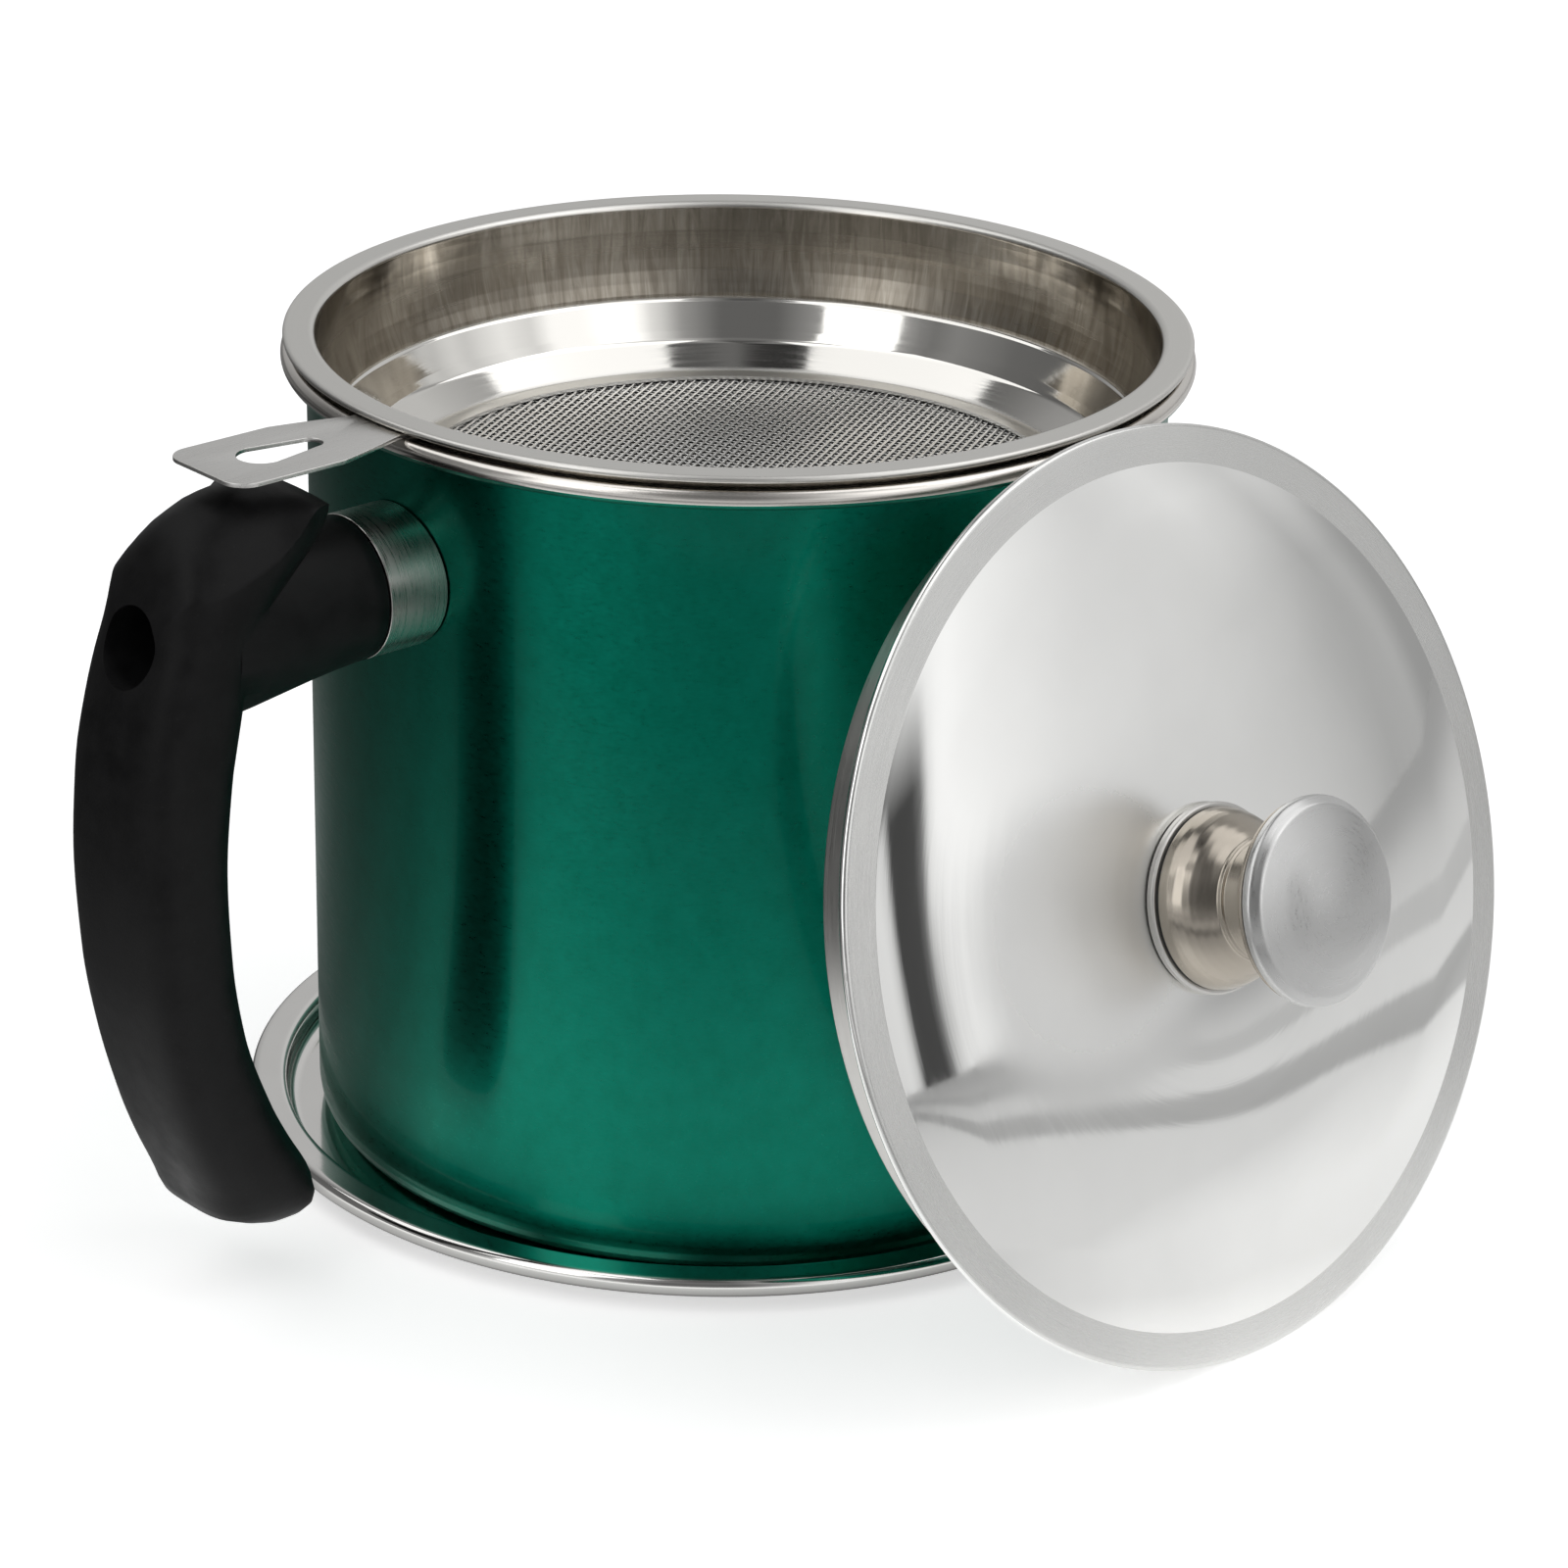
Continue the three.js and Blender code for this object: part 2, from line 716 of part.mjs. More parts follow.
function lidScrew() {
  const washer_base = flange_under + lid_dome - washer_thickness - seat_gap;
  const head_top = washer_base - seat_gap;
  const head_base = head_top - lid_screw_head_height;
  const outline = [
    [0, head_base],
    [lid_screw_head_radius - lid_screw_head_height / 3, head_base],
    [lid_screw_head_radius, head_base + lid_screw_head_height / 3],
    [lid_screw_head_radius, head_top],
    [lid_screw_radius, head_top],
    [lid_screw_radius, head_top + lid_screw_length],
    [0, head_top + lid_screw_length],
  ];
  const washer = [
    [core_bore_radius, washer_base],
    [washer_radius, washer_base],
    [washer_radius, washer_base + washer_thickness],
    [core_bore_radius, washer_base + washer_thickness],
  ];
  return [
    piece('lid_screw', turned(outline, small_sides), zinc),
    piece('lid_washer', ring(washer, small_sides), zinc),
  ];
}

// The lid stands on its edge and leans in until its back meets the pot or its rim

const lean = THREE.MathUtils.degToRad(lid_lean);
const lid_height = Math.max(...lidProfile().map(([along, out]) => (
  along * Math.cos(lean) - out * Math.sin(lean)
)));

function potReach(height) {
  const roll = pot_rim_roll + lid_rest_gap;
  const above = height - bead_height;
  const wall = height < pot_top ? pot_radius + lid_rest_gap : 0;
  if (Math.abs(above) >= roll) return wall;
  return Math.max(wall, bead_reach + Math.sqrt(roll * roll - above * above));
}

function lidReach() {
  let reach = 0;
  for (const outline of [lidProfile(), skirtProfile()]) {
    for (let i = 0; i < outline.length * lean_steps; i++) {
      const start = outline[Math.floor(i / lean_steps)];
      const end = outline[(Math.floor(i / lean_steps) + 1) % outline.length];
      const share = (i % lean_steps) / lean_steps;
      const along = start[0] + (end[0] - start[0]) * share;
      const out = start[1] + (end[1] - start[1]) * share;
      const height = lid_height + along * Math.cos(lean) + out * Math.sin(lean);
      const inset = along * Math.sin(lean) - out * Math.cos(lean);
      reach = Math.max(reach, potReach(height) + inset);
    }
  }
  return reach;
}

// Assembly

const tray = new THREE.Group();
tray.add(dripTray());
tray.position.set(tray_play * tray_slack_x_share, tray_play * tray_slack_y_share, 0);

const handle = new THREE.Group();
handle.add(handleBracket(), handleFerrule(), handleGrip(), handleScrew(), handleSpringWasher());
handle.rotation.z = Math.PI + THREE.MathUtils.degToRad(handle_azimuth);

const tab = new THREE.Group();
tab.add(strainerTab());
tab.rotation.z = handle.rotation.z;

const lid = new THREE.Group();
lid.add(lidShell(), lidSkirt(), knobBackplate(), knobGasket(), knobBell(), knobCore(), knobCap());
lid.add(...lidScrew());
lid.rotation.y = Math.PI / 2 - lean;
lid.position.set(lidReach(), 0, lid_height);

const lean_side = new THREE.Group();
lean_side.add(lid);
lean_side.rotation.z = -THREE.MathUtils.degToRad(lid_azimuth);

const group = new THREE.Group();
group.add(tray, potShell(), potRim(), handle);
group.add(strainerBasket(), strainerMesh(), meshClampRing(), tab, lean_side);

export default group;
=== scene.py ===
import math

import bmesh
import bpy
from mathutils import Matrix, Vector

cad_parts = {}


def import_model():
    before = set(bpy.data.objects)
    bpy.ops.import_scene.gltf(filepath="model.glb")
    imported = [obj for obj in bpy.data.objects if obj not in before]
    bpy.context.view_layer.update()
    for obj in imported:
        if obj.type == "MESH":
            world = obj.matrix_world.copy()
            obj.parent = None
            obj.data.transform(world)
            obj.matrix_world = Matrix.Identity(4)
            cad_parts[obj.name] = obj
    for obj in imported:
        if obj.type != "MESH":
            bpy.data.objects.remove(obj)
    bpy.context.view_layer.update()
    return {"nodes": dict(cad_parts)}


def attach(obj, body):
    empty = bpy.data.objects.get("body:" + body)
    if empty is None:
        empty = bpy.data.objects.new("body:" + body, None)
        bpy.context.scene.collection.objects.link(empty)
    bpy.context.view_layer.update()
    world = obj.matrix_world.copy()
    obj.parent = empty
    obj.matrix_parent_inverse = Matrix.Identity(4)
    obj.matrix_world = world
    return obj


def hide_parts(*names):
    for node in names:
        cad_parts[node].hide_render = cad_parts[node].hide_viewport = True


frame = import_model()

MM = 0.001
TURNS = 192  # faces round a turned piece

# Sizes in millimetres, about the pot's axis, floor at zero

POT_RADIUS = 70.85
POT_TOP = 137.6
RIM_RADIUS = 75.0
STRAINER_TOP = 139.7
STRAINER_FLOOR = 112.1
NET_LEVEL = 111.1
STEM_HEIGHT = 113.0
GRIP_HALF_WIDTH = 12.7
TRAY_SHIFT = (-1.9875, -0.4875)
HANDLE_TURN = math.radians(180 + 41.3)
LID_LEAN = math.radians(17.35)
LID_TURN = math.radians(-45.7)
LID_REACH = 102.4479
LID_HEIGHT = 70.870

# In the lid's own axis, its flange's middle at zero

DOME_CREST = 4.65
SCREW_HOLE = 2.3

# Where each piece's own axis stands

HERE = Matrix.Identity(4)
TRAY = Matrix.Translation((TRAY_SHIFT[0] * MM, TRAY_SHIFT[1] * MM, 0))
HANDLE = Matrix.Rotation(HANDLE_TURN, 4, "Z")
LID = (
    Matrix.Rotation(LID_TURN, 4, "Z")
    @ Matrix.Translation((LID_REACH * MM, 0, LID_HEIGHT * MM))
    @ Matrix.Rotation(math.pi / 2 - LID_LEAN, 4, "Y")
)


# Outlines: lists of (radius, height) points

STRAIGHT = math.radians(89.5)  # half the angle between sides that need no corner
CORNER_SHARE = 0.48  # the most of a side that one corner may take


def arc(x, y, radius, start, end, steps=10):
    points = []
    for i in range(steps + 1):
        angle = math.radians(start + (end - start) * i / steps)
        points.append((x + radius * math.cos(angle), y + radius * math.sin(angle)))
    return points


def rounded(points, closed=False, steps=6):
    """Points with a third value get a corner of that radius."""
    result = []
    count = len(points)
    for i, point in enumerate(points):
        at = Vector(point[:2])
        if len(point) < 3 or (not closed and i in (0, count - 1)):
            result.append((at.x, at.y))
            continue
        back = Vector(points[i - 1][:2]) - at
        on = Vector(points[(i + 1) % count][:2]) - at
        half = back.angle(on) / 2
        if half > STRAIGHT:
            result.append((at.x, at.y))
            continue
        room = min(back.length * CORNER_SHARE, on.length * CORNER_SHARE)
        reach = min(point[2] / math.tan(half), room)
        radius = reach * math.tan(half)
        back, on = back.normalized(), on.normalized()
        start = at + back * reach
        end = at + on * reach
        centre = at + (back + on).normalized() * radius / math.sin(half)
        spoke = start - centre
        sweep = spoke.angle_signed(end - centre)
        for k in range(steps + 1):
            turn = -sweep * k / steps
            x = spoke.x * math.cos(turn) - spoke.y * math.sin(turn)
            y = spoke.x * math.sin(turn) + spoke.y * math.cos(turn)
            result.append((centre.x + x, centre.y + y))
    return result


def held(points, closed=False, margin=0.25, longest=6.0):
    """Extra points keep flats flat next to their corners."""
    result = []
    count = len(points)
    for i in range(count if closed else count - 1):
        a = Vector(points[i])
        b = Vector(points[(i + 1) % count])
        span = (b - a).length
        result.append((a.x, a.y))
        if span > 4 * margin:
            way = (b - a) / span
            inner = span - 2 * margin
            parts = max(1, math.ceil(inner / longest))
            for k in range(parts + 1):
                p = a + way * (margin + inner * k / parts)
                result.append((p.x, p.y))
    if not closed:
        result.append(tuple(points[-1]))
    return result


def band(inner, outer, low, high, ease):
    """A ring's section. ease holds a radius for each corner, from the low inner one on."""
    corners = [(inner, low), (outer, low), (outer, high), (inner, high)]
    section = [
        (*corner, radius) if radius else corner for corner, radius in zip(corners, ease)
    ]
    return held(rounded(section, closed=True), closed=True)


# Meshes

WELD = 1e-7  # metres
ON_AXIS = 1e-6  # millimetres


def mesh_object(name, verts, faces, crease=35.0):
    mesh = bpy.data.meshes.new(name)
    mesh.from_pydata([tuple(v) for v in verts], [], faces)
    work = bmesh.new()
    work.from_mesh(mesh)
    bmesh.ops.remove_doubles(work, verts=work.verts, dist=WELD)
    bmesh.ops.recalc_face_normals(work, faces=work.faces)
    limit = math.radians(crease)
    for edge in work.edges:
        edge.smooth = len(edge.link_faces) == 2 and edge.calc_face_angle(0.0) < limit
    for face in work.faces:
        face.smooth = True
    work.to_mesh(mesh)
    work.free()
    obj = bpy.data.objects.new(name, mesh)
    bpy.context.scene.collection.objects.link(obj)
    return obj


def finish(obj, looks, body, nodes, place=HERE):
    for look in looks if isinstance(looks, (list, tuple)) else [looks]:
        obj.data.materials.append(look)
    obj.data.transform(place)
    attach(obj, body)
    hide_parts(*nodes)
    return obj


def lathe_data(outline, closed, turns):
    verts, rows, faces = [], [], []
    for radius, height in outline:
        if radius < ON_AXIS:
            rows.append([len(verts)])
            verts.append((0, 0, height * MM))
            continue
        rows.append(list(range(len(verts), len(verts) + turns)))
        for k in range(turns):
            angle = 2 * math.pi * k / turns
            x, y = radius * math.cos(angle), radius * math.sin(angle)
            verts.append((x * MM, y * MM, height * MM))
    pairs = list(zip(rows, rows[1:]))
    if closed:
        pairs.append((rows[-1], rows[0]))
    for a, b in pairs:
        for k in range(turns):
            n = (k + 1) % turns
            if len(a) == 1 and len(b) == 1:
                break
            if len(a) == 1:
                faces.append((a[0], b[n], b[k]))
            elif len(b) == 1:
                faces.append((a[k], a[n], b[0]))
            else:
                faces.append((a[k], a[n], b[n], b[k]))
    return verts, faces


def lathe(name, outline, looks, body, nodes, place=HERE, closed=True, turns=TURNS,
          which=None):
    """A turned piece. which(radius, height, normal) picks the look of each face."""
    verts, faces = lathe_data(outline, closed, turns)
    obj = mesh_object(name, verts, faces)
    if which:
        for face in obj.data.polygons:
            x, y, z = face.center
            face.material_index = which(math.hypot(x, y) / MM, z / MM, face.normal)
    return finish(obj, looks, body, nodes, place)


# Nodes: each helper takes sockets or plain values

WHITE = (1, 1, 1, 1)


def feed(tree, socket, value):
    if isinstance(value, bpy.types.NodeSocket):
        tree.links.new(value, socket)
    else:
        socket.default_value = value


def calc(tree, operation, a, b=0.0):
    node = tree.nodes.new("ShaderNodeMath")
    node.operation = operation
    for socket, value in zip(node.inputs, (a, b)):
        feed(tree, socket, value)
    return node.outputs[0]


def mix_colours(tree, share, a, b, kind="MIX"):
    node = tree.nodes.new("ShaderNodeMix")
    node.data_type = "RGBA"
    node.blend_type = kind
    for key, value in (("Factor", share), ("A", a), ("B", b)):
        feed(tree, node.inputs[key], value)
    return node.outputs["Result"]


def ramp(tree, value, stops):
    """A grey ramp from (position, level) pairs."""
    node = tree.nodes.new("ShaderNodeValToRGB")
    tree.links.new(value, node.inputs[0])
    elements = node.color_ramp.elements
    elements[0].position, elements[1].position = stops[0][0], stops[-1][0]
    elements[0].color = (*[stops[0][1]] * 3, 1)
    elements[1].color = (*[stops[-1][1]] * 3, 1)
    for position, level in stops[1:-1]:
        elements.new(position).color = (*[level] * 3, 1)
    return node.outputs[0]


def split_xyz(tree, vector):
    node = tree.nodes.new("ShaderNodeSeparateXYZ")
    tree.links.new(vector, node.inputs[0])
    return node.outputs


def distance_to_axis(tree, x, y):
    squares = calc(tree, "MULTIPLY", x, x), calc(tree, "MULTIPLY", y, y)
    return calc(tree, "SQRT", calc(tree, "ADD", *squares))


def share_of_turn(tree, x, y):
    """From 0 at -180 degrees to 1 at 180 degrees."""
    angle = calc(tree, "ADD", calc(tree, "ARCTAN2", y, x), math.pi)
    return calc(tree, "DIVIDE", angle, 2 * math.pi)


# Materials

NOISE = (0.3, 0.7)  # where most of a noise texture's values lie


class Look:
    def __init__(self, name, colour, metallic, roughness, place=HERE, **sockets):
        self.material = bpy.data.materials.new(name)
        self.material.use_nodes = True
        self.tree = self.material.node_tree
        self.shader = self.tree.nodes["Principled BSDF"]
        self.shader.inputs["Base Color"].default_value = (*colour, 1)
        self.shader.inputs["Metallic"].default_value = metallic
        self.shader.inputs["Roughness"].default_value = roughness
        for key, value in sockets.items():
            self.shader.inputs[key.replace("_", " ")].default_value = value
        self.place = self.add("ShaderNodeTexCoord").outputs["Object"]
        if place != HERE:
            own = self.add("ShaderNodeMapping", vector_type="TEXTURE")
            own.inputs["Location"].default_value = place.to_translation()
            own.inputs["Rotation"].default_value = place.to_euler()
            self.join(self.place, own.inputs["Vector"])
            self.place = own.outputs[0]

    def add(self, kind, **values):
        node = self.tree.nodes.new(kind)
        for key, value in values.items():
            setattr(node, key, value)
        return node

    def join(self, start, end):
        self.tree.links.new(start, end)

    def calc(self, operation, a, b=0.0):
        return calc(self.tree, operation, a, b)

    def weighed(self, a, weight_a, b, weight_b):
        return self.calc(
            "ADD", self.calc("MULTIPLY", a, weight_a), self.calc("MULTIPLY", b, weight_b)
        )

    def scaled(self, x, y, z):
        node = self.add("ShaderNodeVectorMath", operation="MULTIPLY")
        self.join(self.place, node.inputs[0])
        node.inputs[1].default_value = (x, y, z)
        return node.outputs[0]

    def turned(self, radial, axial, around):
        """Radius, direction and height, each with its scale, as texture coordinates."""
        x, y, z = split_xyz(self.tree, self.place)
        radius = distance_to_axis(self.tree, x, y)
        cosine = self.calc("COSINE", self.calc("ARCTAN2", y, x))
        whole = self.add("ShaderNodeCombineXYZ")
        for socket, value, scale in zip(
            whole.inputs, (radius, cosine, z), (radial, around, axial)
        ):
            self.join(self.calc("MULTIPLY", value, scale), socket)
        return whole.outputs[0]

    def rings(self, scale, detail=4.0, rough=0.65, around=0.002):
        """The fine marks that spinning and polishing leave."""
        return self.noise(self.turned(1.0, 1.0, around), scale, detail, rough)

    def noise(self, vector, scale, detail=3.0, rough=0.5, distortion=0.0):
        node = self.add("ShaderNodeTexNoise")
        self.join(vector, node.inputs["Vector"])
        for key, value in (
            ("Scale", scale), ("Detail", detail), ("Roughness", rough),
            ("Distortion", distortion),
        ):
            node.inputs[key].default_value = value
        return node.outputs["Fac"]

    def span(self, value, low, high, new_low, new_high, step="LINEAR"):
        node = self.add("ShaderNodeMapRange", interpolation_type=step)
        self.join(value, node.inputs["Value"])
        for key, number in (
            ("From Min", low), ("From Max", high), ("To Min", new_low), ("To Max", new_high),
        ):
            node.inputs[key].default_value = number
        return node.outputs["Result"]

    def two_tone(self, value, low, high, start=0.0, end=1.0):
        node = self.add("ShaderNodeValToRGB")
        first, last = node.color_ramp.elements
        first.position, last.position = start, end
        first.color, last.color = (*low, 1), (*high, 1)
        self.join(value, node.inputs[0])
        return node.outputs[0]

    def tint(self, value, low, high):
        self.join(self.two_tone(value, low, high), self.shader.inputs["Base Color"])

    def rough(self, value):
        self.join(value, self.shader.inputs["Roughness"])

    def bump(self, height, depth, under=None):
        node = self.add("ShaderNodeBump")
        node.inputs["Distance"].default_value = depth
        self.join(height, node.inputs["Height"])
        if under:
            self.join(under, node.inputs["Normal"])
        self.join(node.outputs[0], self.shader.inputs["Normal"])
        return node.outputs[0]


def turned_metal(name, colour, roughness, rings, depth, waver=0.0, place=HERE):
    """Fine rings about the axis, and faint blotches of colour."""
    look = Look(name, colour, 1.0, roughness, place)
    lines = look.rings(rings)
    blotches = look.noise(look.place, 60, 3.0)
    look.rough(look.span(lines, *NOISE, roughness * 0.8, roughness * 1.25))
    low = tuple(c * 0.93 for c in colour)
    high = tuple(min(1.0, c * 1.05) for c in colour)
    look.tint(blotches, low, high)
    total = lines
    if waver:
        total = look.calc("ADD", lines, look.calc("MULTIPLY", blotches, waver))
    look.bump(total, depth)
    return look.material


STEEL = (0.80, 0.79, 0.77)
SATIN = (0.62, 0.61, 0.59)
LID_SATIN = (0.60, 0.59, 0.57)
RIM = (0.76, 0.73, 0.69)
# Darker than the rim: partly the steel's own tone, partly painted shade inside the pot under the
# net.
SHADED_INSIDE = (0.46, 0.455, 0.44)
FLANGE = (0.74, 0.74, 0.725)
NICKEL = (0.44, 0.40, 0.345)
ALUMINIUM = (0.62, 0.62, 0.615)
ZINC = (0.55, 0.57, 0.60)
NET = (0.95, 0.95, 0.94)

polished = turned_metal("polished_steel", STEEL, 0.09, rings=900, depth=4e-6, waver=0.6)
satin = turned_metal("satin_steel", SATIN, 0.34, rings=4500, depth=1e-5)
rim_steel = turned_metal("rim_steel", RIM, 0.2, rings=2500, depth=6e-6)
shaded_inner_steel = turned_metal("shaded_inner_steel", SHADED_INSIDE, 0.3, rings=2500, depth=6e-6)
zinc = turned_metal("zinc_plated_steel", ZINC, 0.35, rings=2500, depth=1e-5)
net_wire = turned_metal("net_wire", NET, 0.3, rings=3000, depth=4e-6)
flange_steel = turned_metal("flange_steel", FLANGE, 0.26, rings=4000, depth=1e-5, place=LID)
lid_satin = turned_metal(
    "lid_satin_steel", LID_SATIN, 0.34, rings=4500, depth=1e-5, place=LID)
lid_zinc = turned_metal("lid_zinc", ZINC, 0.35, rings=2500, depth=1e-5, place=LID)
nickel = turned_metal("warm_nickel", NICKEL, 0.2, rings=1500, depth=4e-6, waver=0.5, place=LID)
aluminium = turned_metal(
    "polished_aluminium", ALUMINIUM, 0.3, rings=2500, depth=4e-6, waver=0.5, place=LID)


def mirror_dome():
    """Mirror bright and slightly wavy, hazed on one side of the knob."""
    look = Look("dome_steel", (0.92, 0.92, 0.905), 1.0, 0.05, LID)
    lines = look.rings(700)
    away = look.add("ShaderNodeVectorMath", operation="DISTANCE")
    look.join(look.place, away.inputs[0])
    away.inputs[1].default_value = (-0.004, -0.026, 0.0045)
    haze = look.span(away.outputs["Value"], 0.004, 0.036, 0.46, 0.0, "SMOOTHERSTEP")
    look.rough(look.calc("ADD", look.span(lines, *NOISE, 0.03, 0.06), haze))
    look.tint(look.noise(look.place, 60, 3.0), (0.87, 0.87, 0.855), (0.96, 0.96, 0.945))
    waves = look.bump(look.noise(look.place, 17, 1.0, 0.3), 0.0009)
    look.bump(lines, 2e-6, waves)
    return look.material


def bowl_steel():
    """Bright on the steps, with a painted reflection up the wall in dark warm brown with ripples,
    satin on the lip and the rim.
    """
    look = Look("strainer_steel", (0.74, 0.69, 0.62), 1.0, 0.1)
    height = split_xyz(look.tree, look.place)[2]
    wall = look.span(height, 0.1226, 0.1232, 0.0, 1.0)
    rim = look.span(height, 0.1385, 0.1394, 0.0, 1.0)
    lip = look.span(height, 0.1122, 0.1127, 1.0, 0.0)
    edges = look.calc("MAXIMUM", rim, lip)
    # Painted reflection and shade: a dark warm brown with ripples on the wall stands in for the
    # net and the dark pot that the wall reflects.
    grain = look.noise(look.turned(0.0, 70.0, 42.0), 1.0, 3.0, 0.6, 1.2)
    painted_reflection = look.two_tone(grain, (0.25, 0.222, 0.182), (0.42, 0.385, 0.33), 0.35, 0.7)
    base = mix_colours(
        look.tree, look.calc("SUBTRACT", wall, rim), (0.80, 0.785, 0.75, 1), painted_reflection)
    whole = mix_colours(look.tree, edges, base, (0.74, 0.73, 0.70, 1))
    look.join(whole, look.shader.inputs["Base Color"])
    lines = look.rings(1600, 4.0, 0.6)
    fine = look.span(lines, *NOISE, 0.05, 0.11)
    drawn = look.calc("MULTIPLY", wall, look.span(height, 0.1305, 0.1355, 0.22, 0.03))
    smooth = look.calc("ADD", fine, drawn)
    look.rough(look.calc("ADD", smooth, look.calc("MULTIPLY", edges, 0.26)))
    look.bump(look.weighed(lines, 0.5, look.noise(look.place, 45, 3.0), 3.0), 1e-5)
    return look.material


def brushed(name, colour, roughness, way, rings, rough, low, high, depth):
    """Straight brush marks, in the handle's own axes."""
    look = Look(name, colour, 1.0, roughness, HANDLE)
    lines = look.noise(look.scaled(*way), rings, 3.0, 0.7)
    look.rough(look.span(lines, *NOISE, *rough))
    look.tint(lines, low, high)
    look.bump(lines, depth)
    return look.material


def green_lacquer():
    look = Look("green_lacquer", (0.001, 0.18, 0.115), 1.0, 0.3, Coat_Weight=0.12,
                Coat_Roughness=0.06, Anisotropic=0.75, Anisotropic_Rotation=0.25)
    grain = look.noise(look.turned(1.0, 2.2, 0.06), 900, 4.0, 0.7)
    mottle = look.noise(look.scaled(1, 1, 0.8), 260, 5.0, 0.6)
    both = look.weighed(grain, 0.5, mottle, 0.5)
    tone = look.span(both, 0.35, 0.65, 0.0, 1.0)
    look.tint(tone, (0.0005, 0.16, 0.103), (0.002, 0.20, 0.136))
    look.rough(look.span(grain, *NOISE, 0.26, 0.36))
    look.bump(both, 6e-6)
    tangent = look.add("ShaderNodeTangent", direction_type="RADIAL", axis="Z")
    look.join(tangent.outputs[0], look.shader.inputs["Tangent"])
    return look.material


def phenolic():
    """Matt moulded black, with pale specks."""
    look = Look("black_phenolic", (0.005, 0.005, 0.0055), 0.0, 0.5, HANDLE,
                Specular_IOR_Level=0.16)
    fine = look.noise(look.place, 2600, 3.0, 0.6)
    broad = look.noise(look.place, 180, 4.0, 0.55)
    specks = look.add("ShaderNodeTexVoronoi")
    look.join(look.place, specks.inputs["Vector"])
    specks.inputs["Scale"].default_value = 420
    dots = look.calc("MULTIPLY", look.span(specks.outputs["Distance"], 0.02, 0.10, 1.0, 0.0), 0.35)
    tone = look.calc("ADD", dots, look.span(broad, 0.35, 0.65, 0.0, 0.3))
    look.tint(tone, (0.0035, 0.0035, 0.0038), (0.016, 0.016, 0.0165))
    look.rough(look.span(broad, *NOISE, 0.42, 0.56))
    look.bump(look.weighed(fine, 0.6, broad, 1.2), 4e-5)
    return look.material


def rubber():
    look = Look("black_rubber", (0.006, 0.006, 0.006), 0.0, 0.6, LID)
    grain = look.noise(look.place, 1500, 2.0)
    look.rough(look.span(grain, *NOISE, 0.5, 0.7))
    look.tint(grain, (0.004, 0.004, 0.004), (0.010, 0.010, 0.010))
    look.bump(grain, 2e-5)
    return look.material


dome_steel = mirror_dome()
warm_steel = bowl_steel()
ferrule_steel = brushed(
    "ferrule_steel", (0.52, 0.51, 0.485), 0.26, way=(1, 0.03, 0.03), rings=3500,
    rough=(0.2, 0.38), low=(0.44, 0.43, 0.41), high=(0.58, 0.57, 0.55), depth=1e-5)
tab_steel = brushed(
    "tab_steel", (0.60, 0.60, 0.58), 0.3, way=(0.04, 1, 1), rings=5000,
    rough=(0.24, 0.4), low=(0.68, 0.675, 0.655), high=(0.80, 0.79, 0.77), depth=8e-6)
lacquer = green_lacquer()
black = phenolic()
gasket_black = rubber()


# Camera, as in the photograph

camera_data = bpy.data.cameras.new("camera")
camera_data.sensor_width = 36.0
camera_data.lens = 117.96
camera_data.clip_end = 50
camera = bpy.data.objects.new("camera", camera_data)
right = (0.999839, -0.003429, 0.017623)
up = (-0.014865, 0.392366, 0.919689)
ahead = (0.0100683, 0.919803, -0.392251)
spot = (0.0, -0.804413, 0.400859)
camera.matrix_world = Matrix((
    *[(right[i], up[i], -ahead[i], spot[i]) for i in range(3)],
    (0, 0, 0, 1),
))
bpy.context.scene.collection.objects.link(camera)
bpy.context.scene.camera = camera


# Drip tray


def tray():
    sheet, wall, lip, flange = 0.8, 74.6, 79.2, 5.8
    roll, curl, curl_height = 1.4, 0.7, 3.5
    hem = (
        arc(lip, flange - roll, roll, 90, 0, 10)
        + arc(lip + curl, curl_height, curl, 0, -180, 12)
    )
    upper = held(rounded([
        (0, sheet), (wall, sheet, 2.2), (wall, flange, 1.1), (lip, flange),
    ]))
    under = held(rounded([
        (lip, curl_height), (lip, flange - sheet, 0.3), (wall + sheet, flange - sheet, 0.3),
        (wall + sheet, 0.0, 3.0), (0, 0.0),
    ]))
    lathe("tray_body", upper[:-1] + hem + under[1:], polished, "tray", ["drip_tray"],
          TRAY, closed=False)


tray()


# Pot: lacquer outside, bare metal on the rolled rim and inside


def pot():
    sheet, foot, neck, lip, curl = 0.6, 0.8, 1.0, 1.3, 1.8
    inside = POT_RADIUS - sheet
    curl_reach, curl_height = 73.2, POT_TOP - curl
    lacquered_to, bare_from = 135.2, 135.5
    outline = (
        held(rounded([(0, foot), (POT_RADIUS, foot, 5.5), (POT_RADIUS, 135.4)]))
        + arc(POT_RADIUS + neck, 136.0, neck, 180, 105, 6)
        + arc(curl_reach, curl_height, curl - sheet, 95, -110, 16)
        + arc(curl_reach, curl_height, curl, -110, 90, 20)
        + held([(curl_reach, POT_TOP), (71.6, POT_TOP)])[1:]
        + arc(inside + lip, POT_TOP - lip, lip, 92, 180, 8)
        + held(rounded([(inside, 136.2), (inside, foot + sheet, 4.9), (0, foot + sheet)]))[1:]
    )

    def which(radius, height, normal):
        wall = radius > 70.5 and height < lacquered_to
        base = height < 6.5 and normal.z < 0.3 and radius > 3
        if wall or base and (height < 1.35 or radius > 65.2):
            return 0
        # Look 2 is the inside steel, darkened partly as painted shade under the net.
        return 2 if radius < 71.0 and height < bare_from else 1

    lathe("pot_body", outline, [lacquer, rim_steel, shaded_inner_steel], "pot",
          ["pot_shell", "pot_rim"], closed=False, which=which)


pot()


# Strainer


